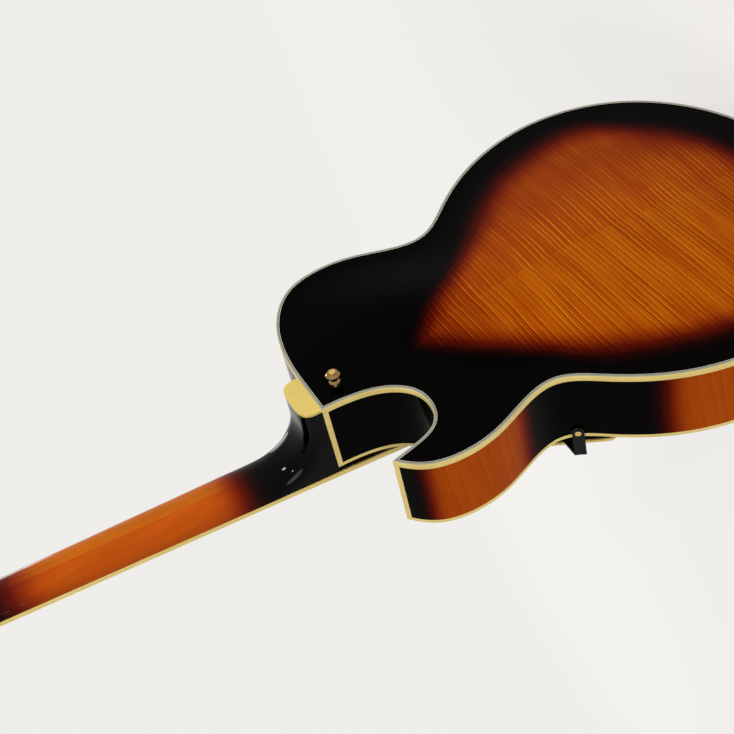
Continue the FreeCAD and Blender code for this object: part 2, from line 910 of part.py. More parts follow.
def truss_cover():
    # A plain rounded plate over the rod's adjusting end
    half, narrow = cover_width / 2, cover_width / 4
    low = nut_length + cover_from_nut
    high = low + cover_length
    left, right = Vector(-narrow, 0, high - narrow), Vector(narrow, 0, high - narrow)
    rim = Part.Wire([
        line(Vector(-half, 0, low), Vector(half, 0, low)),
        line(Vector(half, 0, low), right),
        Part.Arc(right, Vector(0, 0, high), left).toShape(),
        line(left, Vector(-half, 0, low)),
    ])
    plate = Part.Face(rim).extrude(Vector(0, -cover_thickness, 0))
    plate.translate(Vector(0, -head_veneer, 0))
    inset_by = cover_screw_inset
    corners = [(0, high - inset_by), (inset_by - half, low + inset_by), (half - inset_by, low + inset_by)]
    return at_head(plate), [Vector(x, -head_veneer - cover_thickness, z) for x, z in corners]


# Tuners
worm_offset = gear_radius + worm_radius + worm_gap
housing_span = (-gear_radius - housing_wall - housing_spare,
                worm_offset + worm_radius + housing_wall + housing_spare)
key_y = head_thickness + housing_depth / 2
run_y = -head_veneer - post_string_height


def housing(x, z, side):
    half = housing_width / 2
    low, length = z + housing_span[0], housing_span[1] - housing_span[0]
    outer = Part.makeBox(housing_width, housing_depth, length, Vector(x - half, head_thickness, low))
    free = [edge for edge in outer.Edges if edge.CenterOfMass.y > head_thickness + housing_round / 2]
    outer = outer.makeFillet(housing_round, free)
    hollow = Part.makeBox(housing_width - 2 * housing_wall, housing_depth - housing_wall,
                          length - 2 * housing_wall,
                          Vector(x - half + housing_wall, head_thickness, low + housing_wall))
    axis = Vector(x, key_y, z + worm_offset)
    way_out = rod(axis, axis + side_x * side * housing_width, key_radius + shaft_clearance)
    return outer.cut(hollow).cut(way_out)


def bushing(x, z):
    # A sleeve through the headstock with a flange on its face
    bore = post_radius + shaft_clearance
    top = Vector(x, -head_veneer - bushing_flange_height, z)
    sleeve = tube(top, Vector(x, head_thickness - bushing_short_of_back, z), bushing_radius, bore)
    flange = tube(top, Vector(x, -head_veneer, z), bushing_flange, bore)
    return sleeve.fuse(flange).removeSplitter()


def post_and_gear(x, z):
    top = -head_veneer - post_height
    bottom = head_thickness + housing_depth - housing_wall - post_end_gap
    shaft = rod(Vector(x, top, z), Vector(x, bottom, z), post_radius)
    shaft = shaft.makeFillet(post_round, [edge for edge in shaft.Edges if edge.CenterOfMass.y < top + 0.01])
    low = key_y - gear_height / 2
    wheel = rod(Vector(x, low, z), Vector(x, low + gear_height, z), gear_radius)
    notches = []
    for tooth in range(gear_teeth):
        turn = 2 * math.pi * tooth / gear_teeth
        out = Vector(math.cos(turn), 0, math.sin(turn)) * (gear_radius + gear_notch / 2)
        place = Vector(x, low, z) + out
        notches.append(rod(place + front, place - front * (gear_height + 1), gear_notch))
    eye_y = run_y - post_eye_above_run
    eye = rod(Vector(x - far, eye_y, z), Vector(x + far, eye_y, z), post_eye)
    return shaft.cut(eye).fuse(wheel.cut(Part.Compound(notches))).removeSplitter()


def biarc(first, first_way, last, last_way):
    # Two arcs that leave and arrive along the given directions and meet smoothly
    span, ways = last - first, first_way + last_way
    square, double = ways.dot(ways) - 4, -2 * span.dot(ways)
    reach = (-double - math.sqrt(double ** 2 - 4 * square * span.dot(span))) / (2 * square)
    first_tip, last_tip = first + first_way * reach, last - last_way * reach
    meeting = (first_tip + last_tip) / 2
    arcs = []
    for start, tip, end in ((first, first_tip, meeting), (meeting, last_tip, last)):
        lean = start.distanceToPoint(end) / (2 * reach)
        middle = mix((start + end) / 2, tip, lean / (1 + lean))
        arcs.append(Part.Arc(start, middle, end).toShape())
    return arcs


def winding(x, z, side, radius):
    # The string's turns on its post, climbing from the run's height towards the post's top
    reach = post_radius + shaft_clearance + radius
    climb = 2 * radius + winding_gap
    quarter = math.pi / 2

    def place(turn):
        return Vector(x - side * reach * math.cos(turn), run_y - climb * turn / (2 * math.pi),
                      z + reach * math.sin(turn))

    def way(turn):
        ahead = Vector(side * reach * math.sin(turn), -climb / (2 * math.pi), reach * math.cos(turn))
        return ahead.normalize()

    edges = []
    for step in range(4 * winding_turns):
        first, last = step * quarter, (step + 1) * quarter
        edges += biarc(place(first), way(first), place(last), way(last))
    turn_steps = 24
    beads = [place(2 * math.pi * step / turn_steps) for step in range(turn_steps * winding_turns + 1)]
    apart = [beads[i].distanceToPoint(beads[j]) for i in range(len(beads))
             for j in range(i + turn_steps // 2, len(beads))]
    print("least gap between a string's turns", round(min(apart) - 2 * radius, 3))
    return swept(Part.Wire(edges), radius)


def key_and_worm(x, z, side):
    axis_z = z + worm_offset
    centre = Vector(x, key_y, axis_z)
    half = housing_width / 2 - housing_wall - worm_end_gap
    worm = rod(centre - side_x * half, centre + side_x * half, worm_radius)
    grooves = []
    for groove in range(-3, 4):
        start = centre + side_x * (groove * worm_groove_pitch - worm_groove_width / 2)
        end = start + side_x * worm_groove_width
        grooves.append(tube(start, end, 2 * worm_radius, worm_radius - worm_groove_depth))
    edge = x + side * (tuner_inset + key_reach)
    stem = rod(centre, Vector(edge + side * button_socket, key_y, axis_z), key_radius)
    shaft = worm.cut(Part.Compound(grooves)).fuse(stem).removeSplitter()
    return shaft, button(edge, axis_z, side).cut(stem)


def button(edge, axis_z, side):
    # A rounded oval grip, thicker at its root
    middle = edge + side * button_length / 2
    rim = Part.Ellipse(Vector(middle, 0, axis_z), button_width / 2, button_length / 2).toShape()
    rim.rotate(Vector(middle, 0, axis_z), side_x, 90)
    turned = rim.copy()
    turned.rotate(Vector(middle, 0, axis_z), Vector(0, 1, 0), 90)
    grip = Part.Face(Part.Wire([turned])).extrude(Vector(0, button_thickness, 0))
    grip.translate(Vector(0, key_y - button_thickness / 2, 0))
    grip = grip.makeFillet(button_thickness * 0.35, grip.Edges[:1] + grip.Edges[2:3])
    root = Vector(edge, key_y, axis_z)
    collar = rod(root - side_x * side, root + side_x * side * button_collar, button_thickness * 0.42)
    return grip.fuse(collar).removeSplitter()


# Strings
def saddle_point(number):
    return spot(bridge_at, string_x[number] * bridge_spacing, string_rise(bridge_at))


def nut_point(number):
    across = string_x[number] * nut_spacing
    return neck_place.multVec(Vector(across, -nut_top - string_radii[number], nut_length / 2))


def tail_point(number):
    return spot(tail_bar_at, string_x[number] * bridge_spacing, tail_bar_rise())


def tail_bar_rise():
    return top_height(tail_bar_at, 0) + tail_bar_above_top + tail_bar_height / 2


def post_point(number):
    label, side, x, z = tuner_spots()[number]
    radius = string_radii[number]
    inner = x - side * (post_radius + shaft_clearance + radius)
    return head_place.multVec(Vector(inner, run_y, z))


def bent_wire(points, bend):
    # Straight runs joined by tangent arcs at the inner points
    edges, start = [], points[0]
    for before, corner, after in zip(points, points[1:], points[2:]):
        back = (before - corner).normalize()
        ahead = (after - corner).normalize()
        half_turn = (math.pi - back.getAngle(ahead)) / 2
        trim = bend * math.tan(half_turn)
        first, last = corner + back * trim, corner + ahead * trim
        inward = (back + ahead).normalize()
        centre = corner + inward * (bend / math.cos(half_turn))
        middle = centre - inward * bend
        edges += [line(start, first), Part.Arc(first, middle, last).toShape()]
        start = last
    edges.append(line(start, points[-1]))
    return Part.Wire(edges)


def swept(path, radius):
    first = path.Edges[0]
    ring = Part.Wire([Part.makeCircle(radius, first.valueAt(first.FirstParameter),
                                      first.tangentAt(first.FirstParameter))])
    return path.makePipeShell([ring], True, False)


def string_points(number):
    # Tailpiece, saddle, nut and post
    lifted = saddle_point(number) + front * string_radii[number]
    return [tail_point(number), lifted, nut_point(number), post_point(number)]


def strings():
    # Each run stops clear of its post, where the turns take over
    made = []
    for number, radius in enumerate(string_radii):
        points = string_points(number)
        back_off = post_radius + 2 * radius + winding_gap
        points[3] += (points[2] - points[3]).normalize() * back_off
        made.append(swept(bent_wire(points, string_bend), radius))
    return made


def string_slots():
    return [swept(bent_wire(string_points(number), string_bend), radius + shaft_clearance)
            for number, radius in enumerate(string_radii)]


# Bridge and tailpiece
bridge_top = string_rise(bridge_at)
saddle_low = bridge_top - saddle_height
wheel_low = saddle_low - wheel_height - glue_gap
post_top = bridge_top - bridge_post_below_top


def bridge_base():
    # A bar with two feet carved to the top's arch
    end, shoulder = bridge_foot_length / 2, bridge_foot_length / 2 - bridge_shoulder
    high = wheel_low - wheel_clear
    low = body_depth - top_crown
    rim = [(-end, high - bridge_end_drop), (-shoulder, high), (shoulder, high),
           (end, high - bridge_end_drop), (end, low), (-end, low)]
    face = face_of([spot(bridge_at - bridge_foot_width / 2, across, rise) for across, rise in rim])
    solid = face.extrude(Vector(0, 0, -bridge_foot_width))
    relief = bench_box((bridge_at - bridge_foot_width, bridge_at + bridge_foot_width),
                       (-bridge_arch_half, bridge_arch_half),
                       (low, top_height(bridge_at, 0) + bridge_arch_rise))
    solid = solid.cut(slab(top_skin, -far, glue_gap)).cut(relief)
    holes = []
    for side in (-1, 1):
        bottom = post_foot(side) - front * (bridge_post_root + fit_gap)
        holes.append(rod(bottom, bottom + front * far, bridge_post_radius + fit_gap))
    return solid.cut(Part.Compound(holes))


def post_foot(side):
    return spot(bridge_at, side * bridge_post_spread / 2, wheel_low - wheel_clear)


def bridge_post(side):
    foot = post_foot(side)
    top = foot + front * (post_top - wheel_low + wheel_clear)
    return rod(foot - front * bridge_post_root, top, bridge_post_radius)


def bridge_wheel(side):
    low = spot(bridge_at, side * bridge_post_spread / 2, wheel_low)
    wheel = tube(low, low + front * wheel_height, wheel_radius, bridge_post_radius + shaft_clearance)
    rims = [edge for edge in wheel.Edges if edge.Length > math.pi * wheel_radius and edge.Closed]
    return wheel.makeChamfer(wheel_bevel, rims)


def saddle(string_tubes):
    # A bar with a rounded crest, seen from the neck, drawn out along the strings
    end, shoulder = saddle_length / 2, saddle_length / 2 - saddle_shoulder
    crest = bridge_top + saddle_notch
    drops = (saddle_shoulder_drop, saddle_end_drop)

    def at(across, rise):
        return spot(bridge_at - saddle_width / 2, across, rise)

    left = [at(-end, saddle_low), at(-end, crest - drops[1]), at(-shoulder, crest - drops[0])]
    right = [at(shoulder, crest - drops[0]), at(end, crest - drops[1]), at(end, saddle_low)]
    crown = Part.Arc(left[-1], at(0, crest), right[0]).toShape()
    sides = [line(*pair) for run in (left, right) for pair in zip(run, run[1:])]
    rim = Part.Wire(sides[:2] + [crown] + sides[2:] + [line(right[-1], left[0])])
    solid = Part.Face(rim).extrude(Vector(0, 0, -saddle_width))
    bores = []
    for side in (-1, 1):
        foot = post_foot(side)
        roof = foot + front * (bridge_top - saddle_roof - wheel_low + wheel_clear)
        bores.append(rod(foot, roof, bridge_post_radius + shaft_clearance))
    return solid.cut(Part.Compound(bores + string_tubes))


hinge_down = body_length + hinge_behind_tail
hinge_radius = hinge_pin_radius + hinge_wall


hinge_half = tail_hinge_width / 2 + hinge_end


def hinge_point(across):
    return spot(hinge_down, across, body_depth + hinge_rise)


def tailpiece_frame(string_tubes):
    # A string bar on two rods that meet in a hinge eye at the tail
    rise = tail_bar_rise()
    half_length, half = tail_bar_length / 2, tail_bar_width / 2
    bar = bench_box((tail_bar_at - half, tail_bar_at + half), (-half_length, half_length),
                    (rise - tail_bar_height / 2, rise + tail_bar_height / 2))
    bar = bar.makeFillet(tail_bar_round, bar.Edges)
    pieces_made = [bar]
    for side in (-1, 1):
        eye_end = hinge_point(side * tail_hinge_width / 2)
        bend = spot(body_length - 12, side * (tail_hinge_width / 2 + 2), body_depth + hinge_rise + 3)
        start = spot(tail_bar_at + half - tail_rod_radius, side * (half_length - tail_rod_inset), rise)
        pieces_made.append(swept(bent_wire([start, bend, eye_end], tail_rod_bend), tail_rod_radius))
    eye = rod(hinge_point(-hinge_half), hinge_point(hinge_half), hinge_radius)
    knuckle_half = tail_hinge_width / 2 - hinge_knuckle
    knuckle_gap = rod(hinge_point(-knuckle_half), hinge_point(knuckle_half), far)
    pin_hole = rod(hinge_point(-far), hinge_point(far), hinge_pin_radius + shaft_clearance)
    solid = fused(pieces_made + [eye.cut(knuckle_gap)])
    holes = []
    for number in range(6):
        ball = tail_point(number) + Vector(0, 0, tail_ball_seat)
        holes.append(rod(ball, ball - Vector(0, 0, far), tail_ball_hole))
    return solid.cut(pin_hole).cut(Part.Compound(holes + string_tubes))


def tailpiece_bracket():
    half = tail_plate_width / 2
    outer = body_length + tail_plate_thickness
    plate = bench_box((body_length + glue_gap, outer + glue_gap), (-half, half),
                      (body_depth - tail_plate_length, body_depth + hinge_rise))
    inner_half = tail_hinge_width / 2 - hinge_knuckle - hinge_side_gap
    knuckle = rod(hinge_point(-inner_half), hinge_point(inner_half), hinge_radius)
    over_top = (body_depth + 1.0, far)
    side_cut = [bench_box((-far, far), span, over_top) for span in ((-far, -inner_half), (inner_half, far))]
    solid = plate.cut(Part.Compound(side_cut)).fuse(knuckle)
    solid = solid.cut(raised(outline_face, -far, far))
    pin_hole = rod(hinge_point(-far), hinge_point(far), hinge_pin_radius + shaft_clearance)
    return solid.removeSplitter().cut(pin_hole)


def tail_screw_places():
    middle = body_depth - tail_plate_length / 2
    outer = body_length + glue_gap + tail_plate_thickness
    apart = tail_screw_spread
    corners = ((0, -apart), (-apart, apart / 2), (apart, apart / 2))
    return [spot(outer, across, middle + up) for across, up in corners]


# Pickups and controls
def upright_edges(box, height):
    return [edge for edge in box.Edges if abs(edge.BoundBox.YLength - height) < 0.01]


def front_edges(box, level):
    return [edge for edge in box.Edges if edge.BoundBox.YMax < level + 0.01]


def pole_rods(low, high, radius):
    places = [string_x[number] * pole_spacing for number in range(6)]
    z = -pickup_width / 4
    return [rod(Vector(x, low, z), Vector(x, high, z), radius) for x in places]


def pickup_cover_and_coil():
    # In the pickup's own tilted frame: y is 0 at the cover's face and grows into the body
    half_x, half_z = pickup_length / 2, pickup_width / 2
    shell = Part.makeBox(pickup_length, pickup_depth, pickup_width, Vector(-half_x, 0, -half_z))
    shell = shell.makeFillet(pickup_corner, upright_edges(shell, pickup_depth))
    shell = shell.makeFillet(pickup_edge, front_edges(shell, 0))
    inner_x, inner_z = half_x - pickup_wall, half_z - pickup_wall
    hollow = Part.makeBox(2 * inner_x, pickup_depth, 2 * inner_z, Vector(-inner_x, pickup_wall, -inner_z))
    cover = shell.cut(hollow).cut(Part.Compound(pole_rods(-1, 2, pole_radius + fit_gap)))
    coil_x, coil_z = inner_x - coil_gap, inner_z - coil_gap
    coil = Part.makeBox(2 * coil_x, pickup_depth - coil_short, 2 * coil_z,
                        Vector(-coil_x, pickup_wall + coil_gap / 2, -coil_z))
    return cover, fused([coil] + pole_rods(-pole_proud, 2, pole_radius))


def pickup_ring():
    deep = 2 * top_crown
    low = Vector(-ring_length / 2, ring_below_pickup, -ring_width / 2)
    ring = Part.makeBox(ring_length, deep, ring_width, low)
    ring = ring.makeFillet(ring_corner, upright_edges(ring, deep))
    ring = ring.makeFillet(ring_edge, front_edges(ring, ring_below_pickup))
    half_x, half_z = pickup_length / 2 + ring_gap, pickup_width / 2 + ring_gap
    return ring.cut(Part.makeBox(2 * half_x, far, 2 * half_z, Vector(-half_x, -1, -half_z)))


def pickup_parts(down):
    # Cover, coil pack and ring in their place, and the ring's screws as (head, axis)
    place = pickup_place(down)
    cover, coil = pickup_cover_and_coil()
    ring = pickup_ring()
    for shape in (cover, coil, ring):
        shape.Placement = place
    ring = ring.cut(slab(top_skin, -far, glue_gap))
    into = place.Rotation.multVec(Vector(0, 1, 0))
    x, z = ring_length / 2 - ring_screw_inset, ring_width / 2 - ring_screw_inset
    heads = [Vector(a * x, ring_below_pickup, b * z) for a in (-1, 1) for b in (-1, 1)]
    return (cover, coil, ring), [(place.multVec(head), into) for head in heads]


def pot_base(down, across):
    return top_height(down, across) - plate_thickness - pot_wall_gap


def potentiometer(down, across):
    base = spot(down, across, pot_base(down, across))
    can = rod(base - front * pot_height, base, pot_radius)
    surface = highest_top(down, across, knob_radius)
    bushing = rod(base, spot(down, across, top_height(down, across) + pot_bushing_proud), pot_bushing)
    shaft = rod(base, spot(down, across, surface + knob_gap + knob_hold - fit_gap), pot_shaft)
    return fused([can, bushing, shaft])


def knob(down, across):
    # A flared skirt under a straight grip
    low = highest_top(down, across, knob_radius) + knob_gap
    profile = [(0, 0), (knob_radius, 0), (knob_radius, knob_skirt), (knob_radius * 0.80, knob_grip_from),
               (knob_radius * 0.74, knob_height - knob_edge), (knob_radius * 0.66, knob_height),
               (0, knob_height)]
    face = face_of([spot(down, across + out, low + up) for out, up in profile])
    solid = face.revolve(spot(down, across, low), front, 360)
    foot = spot(down, across, low)
    bore = rod(foot - front, foot + front * (knob_hold + fit_gap), pot_shaft + shaft_clearance)
    wide = rod(foot - front, foot + front * knob_recess, pot_bushing + knob_gap)
    return solid.cut(bore).cut(wide)


def switch_pivot():
    return spot(*switch_place, top_height(*switch_place))


def switch_body():
    place = switch_pivot()
    low = place - front * (plate_thickness + pot_wall_gap)
    wide, deep, long = switch_can
    can = Part.makeBox(wide, deep, long, low - Vector(wide / 2, 0, long / 2))
    bushing = rod(low, place + front * switch_height, switch_bushing)
    surface = highest_top(*switch_place, switch_collar) - top_height(*switch_place)
    collar = rod(place + front * (surface + glue_gap), place + front * (surface + switch_collar_height),
                 switch_collar)
    bore = rod(low - front * switch_bore_depth, place + front * far, switch_bore)
    return fused([can, bushing, collar]).cut(bore)


def switch_lever_solid():
    # A thin stem on a pivot drum that turns in the bushing's bore, with a domed grip
    place = switch_pivot()
    stem = rod(place - front * switch_lever_tail, place + front * switch_lever_length, switch_lever)
    tip_start = place + front * (switch_lever_length - switch_tip_length)
    tip = Part.makeCone(switch_tip_radius * 0.55, switch_tip_radius, switch_tip_length, tip_start, front)
    dome = Part.makeSphere(switch_tip_radius, tip_start + front * switch_tip_length)
    half = math.sqrt((switch_bore - fit_gap) ** 2 - switch_pivot_radius ** 2)
    drum = rod(place - side_x * half, place + side_x * half, switch_pivot_radius)
    return fused([stem, drum, tip, dome])


def output_jack():
    place, axis = jack_axis()
    inner = place - axis * jack_length
    outer = place + axis * jack_flange_height
    barrel = rod(inner, outer, jack_barrel)
    seat = place + axis * glue_gap
    flange = rod(seat, outer, jack_flange)
    narrow, wide = jack_reach()
    nut_face = place - axis * (wide - narrow + rib_thickness + glue_gap)
    thread_nut = rod(nut_face - axis * jack_nut_height, nut_face, jack_flange - 1)
    bore = rod(inner + axis * jack_end_wall, outer + axis, jack_bore)
    return fused([barrel, flange, thread_nut]).cut(bore)


# Pickguard and strap buttons
guard_place = Placement(spot(guard_start, 0, guard_rise), Rotation(side_x, -neck_pitch))


def guard_height(down):
    return guard_rise + (down - guard_start) * math.tan(pitch)


def guard_edge(down):
    # The guard's outer edge runs straight from the fingerboard's end to the widest place
    return mix(guard_outer_start, guard_widest, (down - guard_start) / (guard_widest_at - guard_start))


def pickguard():
    # A tapered plate beside the strings, parallel to them
    rim = [(guard_start, guard_inner), (guard_end, guard_inner), (guard_end, guard_inner + guard_end_width),
           (guard_widest_at + guard_turn[0], guard_widest - guard_turn[1]), (guard_widest_at, guard_widest),
           (guard_start, guard_outer_start)]
    solid = face_of([Vector(across, 0, guard_start - down) for down, across in rim])
    solid = solid.extrude(Vector(0, -guard_thickness, 0))
    upright = [edge for edge in solid.Edges if abs(edge.Length - guard_thickness) < 0.01]
    solid = solid.makeFillet(guard_corner, upright)
    solid.Placement = guard_place
    return solid


def pickguard_bracket():
    # A bent strap with a round foot on the rib, over the binding to the guard's underside
    half = bracket_width / 2
    arm_top = guard_height(bracket_at - half) - glue_gap
    downs = [bracket_at + half * share for share in (-1, -0.5, 0, 0.5, 1)]
    near, away = [[spot(down, half_width(down), 0) + rib_normal(down) * out for down in downs]
                  for out in (glue_gap, glue_gap + bracket_thickness)]
    reach = guard_edge(bracket_at) - bracket_reach
    ends = [spot(downs[0], reach, 0), spot(downs[-1], reach, 0)]
    outer = curve(away).toShape()
    leg = Part.Wire([line(near[0], away[0]), outer, line(away[-1], near[-1]), curve(near).toShape()])
    arm = Part.Wire([line(ends[0], away[0]), outer, line(away[-1], ends[1]), line(ends[1], ends[0])])
    foot_low = body_depth - bracket_foot
    foot_middle = spot(bracket_at, half_width(bracket_at), foot_low + bracket_foot_round)
    normal = rib_normal(bracket_at)
    foot = rod(foot_middle - normal * bracket_foot, foot_middle + normal * bracket_foot, bracket_foot_round)
    leg_face = Part.Face(leg)
    return fused([raised(leg_face, foot_low, foot_low + bracket_foot_round).common(foot),
                  raised(leg_face, foot_low + bracket_foot_round, arm_top),
                  raised(Part.Face(arm), arm_top - bracket_thickness, arm_top)])


def rib_normal(down):
    # Outward across the treble rib, level with the back
    slope = half_width(down + 1) - half_width(down - 1)
    return Vector(2, 0, slope).normalize()


def bracket_screw_rise():
    return body_depth - bracket_foot / 2 - 1


def strap_button(foot, axis):
    # A turned button: a wide foot, a waist and a domed head
    profile = [(0, 0), (strap_base_radius, 0), (strap_base_radius * 0.9, strap_neck_from / 2),
               (strap_neck_radius, strap_neck_from), (strap_neck_radius, strap_neck_to),
               (strap_head_radius, strap_head_from), (strap_head_radius, strap_head_to),
               (strap_head_radius * 0.75, strap_height), (0, strap_height)]
    face = face_of([foot + side_x * radius + axis * height for radius, height in profile])
    return face.revolve(foot, axis, 360)


def screw(head, axis, length):
    # Axis points from the head into the piece that it holds
    shank = rod(head, head + axis * length, screw_radius)
    cap = rod(head - axis * screw_head_height, head, screw_head_radius)
    width, depth = screw_slot
    reach = 3 * screw_head_radius
    slot = Part.makeBox(2 * reach, width, depth, Vector(-reach, -width / 2, -depth / 2))
    slot.Placement = Placement(head - axis * screw_head_height, Rotation(Vector(0, 0, 1), axis))
    return shank.fuse(cap).removeSplitter().cut(slot)


def screw_places(ring_tops, cover_tops):
    # (head, axis, length) of every screw
    places = [(head, into, ring_screw_length) for head, into in ring_tops]
    places += [(head_place.multVec(head), head_place.Rotation.multVec(Vector(0, 1, 0)), screw_length)
               for head in cover_tops]
    places += [(foot + axis * strap_height, axis * -1, strap_height + screw_length)
               for foot, axis in strap_places()]
    places += [(place, Vector(0, 0, 1), 2 * screw_length) for place in tail_screw_places()]
    normal = rib_normal(bracket_at)
    side = spot(bracket_at, half_width(bracket_at), bracket_screw_rise())
    places.append((side + normal * (bracket_thickness + 3 * glue_gap), normal * -1, screw_length))
    down = guard_place.Rotation.multVec(Vector(0, 1, 0))
    top = Vector(guard_edge(bracket_at) - bracket_reach / 2, -guard_thickness, guard_start - bracket_at)
    places.append((guard_place.multVec(top), down, guard_thickness + bracket_thickness + 1))
    return places


def pilot(head, axis, length):
    return rod(head - axis * 0.01, head + axis * (length + fit_gap), screw_radius + fit_gap)


def strap_places():
    back_at = spot(strap_button_down, strap_button_across, 0)
    height = arch(strap_button_down, strap_button_across, back_crown)
    return [(back_at - front * (height + glue_gap), front * -1),
            (spot(body_length + glue_gap, 0, strap_tail_rise), Vector(0, 0, -1))]


def build():
    made = {}
    back_binding = wall(0, binding_width, 0, back_binding_height)
    top_binding = wall(0, binding_width, body_depth - top_binding_height, body_depth)
    strips = corner_strips()
    made["back_binding"], made["top_binding"] = back_binding, top_binding
    made["corner_bindings"] = Part.Compound(strips)
    made["back_bass_half"], made["back_treble_half"] = halves(back_plate())
    made["top_bass_half"], made["top_treble_half"] = halves(top_plate())
    ribs = rib_walls(strips, [back_binding, top_binding])
    made["rib_bass"], made["rib_treble"], made["rib_cutaway"] = ribs
    room = inside(glue_gap, glue_gap)
    blocks = body_blocks(room)
    made["body_blocks"] = Part.Compound(blocks)
    made["kerfed_linings"] = Part.Compound(linings(room, blocks))
    made["tone_bars"] = Part.Compound(tone_bars())
    made["neck"] = neck()
    made["heel_cap"] = heel_cap()
    board_names = ("fingerboard", "fingerboard_binding", "frets", "position_markers")
    made.update(zip(board_names, fingerboard_set()))
    made["truss_rod"] = truss_channel(0)
    veneer = head_face().extrude(Vector(0, -head_veneer, 0))
    bushing_holes = Part.Compound(post_holes(bushing_radius + fit_gap, -far, far))
    made["headstock_veneer"] = at_head(veneer.cut(bushing_holes))
    made["truss_rod_cover"], cover_screws = truss_cover()
    made["strings"] = Part.Compound(strings())
    slots = string_slots()
    made["nut"] = nut(slots)
    housings, bushings = [], []
    for number, side, x, z in tuner_spots():
        housings.append(at_head(housing(x, z, side)))
        bushings.append(at_head(bushing(x, z)))
        shaft, grip = key_and_worm(x, z, side)
        made[f"tuner_key_{number}"] = Part.Compound([at_head(shaft), at_head(grip)])
        wound = winding(x, z, side, string_radii[number - 1])
        made[f"string_post_{number}"] = Part.Compound([at_head(post_and_gear(x, z)), at_head(wound)])
    made["tuner_housings"] = Part.Compound(housings)
    made["tuner_bushings"] = Part.Compound(bushings)
    made["bridge_base"] = bridge_base()
    made["bridge_posts"] = Part.Compound([bridge_post(side) for side in (-1, 1)])
    made["bridge_wheel_bass"], made["bridge_wheel_treble"] = bridge_wheel(-1), bridge_wheel(1)
    made["bridge_saddle"] = saddle(slots)
    made["tailpiece_frame"] = tailpiece_frame(slots)
    made["tailpiece_bracket"] = tailpiece_bracket()
    covers, coils, rings, ring_tops = [], [], [], []
    for down in pickup_places:
        (cover, coil, ring), tops = pickup_parts(down)
        covers.append(cover)
        coils.append(coil)
        rings.append(ring)
        ring_tops += tops
    made["pickup_covers"], made["pickup_coils"] = Part.Compound(covers), Part.Compound(coils)
    made["pickup_rings"] = Part.Compound(rings)
    made["potentiometers"] = Part.Compound([potentiometer(*place) for place in knob_places.values()])
    for name, place in knob_places.items():
        made[f"knob_{name}"] = knob(*place)
    made["switch_body"], made["switch_lever"] = switch_body(), switch_lever_solid()
    made["output_jack"] = output_jack()
    made["pickguard"], made["pickguard_bracket"] = pickguard(), pickguard_bracket()
    made["strap_buttons"] = Part.Compound([strap_button(foot, axis) for foot, axis in strap_places()])
    pin = rod(hinge_point(-hinge_half), hinge_point(hinge_half), hinge_pin_radius)
    places = screw_places(ring_tops, cover_screws)
    made["fasteners"] = Part.Compound([pin] + [screw(*place) for place in places])
    pilots = [pilot(*place) for place in places]
    for name in screwed_nodes:
        near = [hole for hole in pilots if hole.BoundBox.intersect(made[name].BoundBox)]
        made[name] = made[name].cut(Part.Compound(near))
    return made


os.makedirs("parts", exist_ok=True)
for old in os.listdir("parts"):
    os.remove(os.path.join("parts", old))
for name, shape in build().items():
    solids = shape.Solids
    volume = round(sum(solid.Volume for solid in solids) / 1000, 2)
    print(name, len(solids), "solids", volume, "cm3", all(solid.isValid() for solid in solids))
    (solids[0] if len(solids) == 1 else Part.Compound(solids)).exportStep(f"parts/{name}.step")
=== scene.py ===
import math

import bmesh
import bpy
import numpy as np
from mathutils import Matrix, Vector
from mathutils.geometry import delaunay_2d_cdt


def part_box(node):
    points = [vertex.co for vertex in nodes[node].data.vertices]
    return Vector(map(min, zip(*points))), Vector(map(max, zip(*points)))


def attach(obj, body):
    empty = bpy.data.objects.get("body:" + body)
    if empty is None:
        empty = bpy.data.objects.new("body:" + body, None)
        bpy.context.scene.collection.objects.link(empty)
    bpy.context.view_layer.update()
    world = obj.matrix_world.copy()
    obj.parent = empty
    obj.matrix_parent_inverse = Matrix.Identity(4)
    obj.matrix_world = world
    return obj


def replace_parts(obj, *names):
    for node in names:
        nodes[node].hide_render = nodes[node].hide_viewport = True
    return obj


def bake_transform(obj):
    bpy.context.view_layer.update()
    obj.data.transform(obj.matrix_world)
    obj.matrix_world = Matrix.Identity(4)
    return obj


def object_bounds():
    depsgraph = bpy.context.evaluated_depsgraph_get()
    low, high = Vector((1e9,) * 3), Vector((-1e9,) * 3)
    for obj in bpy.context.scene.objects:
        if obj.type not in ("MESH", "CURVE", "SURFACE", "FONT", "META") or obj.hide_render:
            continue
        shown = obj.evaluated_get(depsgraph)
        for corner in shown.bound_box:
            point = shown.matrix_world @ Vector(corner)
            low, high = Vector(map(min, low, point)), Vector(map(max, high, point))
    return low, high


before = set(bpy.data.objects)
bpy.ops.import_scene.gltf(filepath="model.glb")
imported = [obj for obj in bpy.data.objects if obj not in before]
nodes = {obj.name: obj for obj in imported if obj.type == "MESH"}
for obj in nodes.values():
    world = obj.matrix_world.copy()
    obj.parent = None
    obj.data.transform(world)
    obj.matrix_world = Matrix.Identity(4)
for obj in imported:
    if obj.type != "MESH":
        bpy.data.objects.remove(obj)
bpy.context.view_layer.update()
scene = bpy.context.scene
mm = 0.001

# Body places are (down, across, rise) in millimetres: down from the neck joint, across to the treble
# side, rise from the back's edge towards the strings. The frame's binding gives where that is.
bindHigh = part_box("back_binding")[1]
edgeZ = -bindHigh.z / mm
backY = bindHigh.y / mm


def spot(down, across, rise):  # body place to the shared frame, in metres
    down, across, rise = np.broadcast_arrays(down, across, rise)
    return np.stack([across, backY - rise, -edgeZ - down], axis=-1) * mm


def smoothStep(low, high, value):  # 0 below low, 1 above high, an S between them
    share = np.clip((value - low) / (high - low), 0, 1)
    return share * share * (3 - 2 * share)


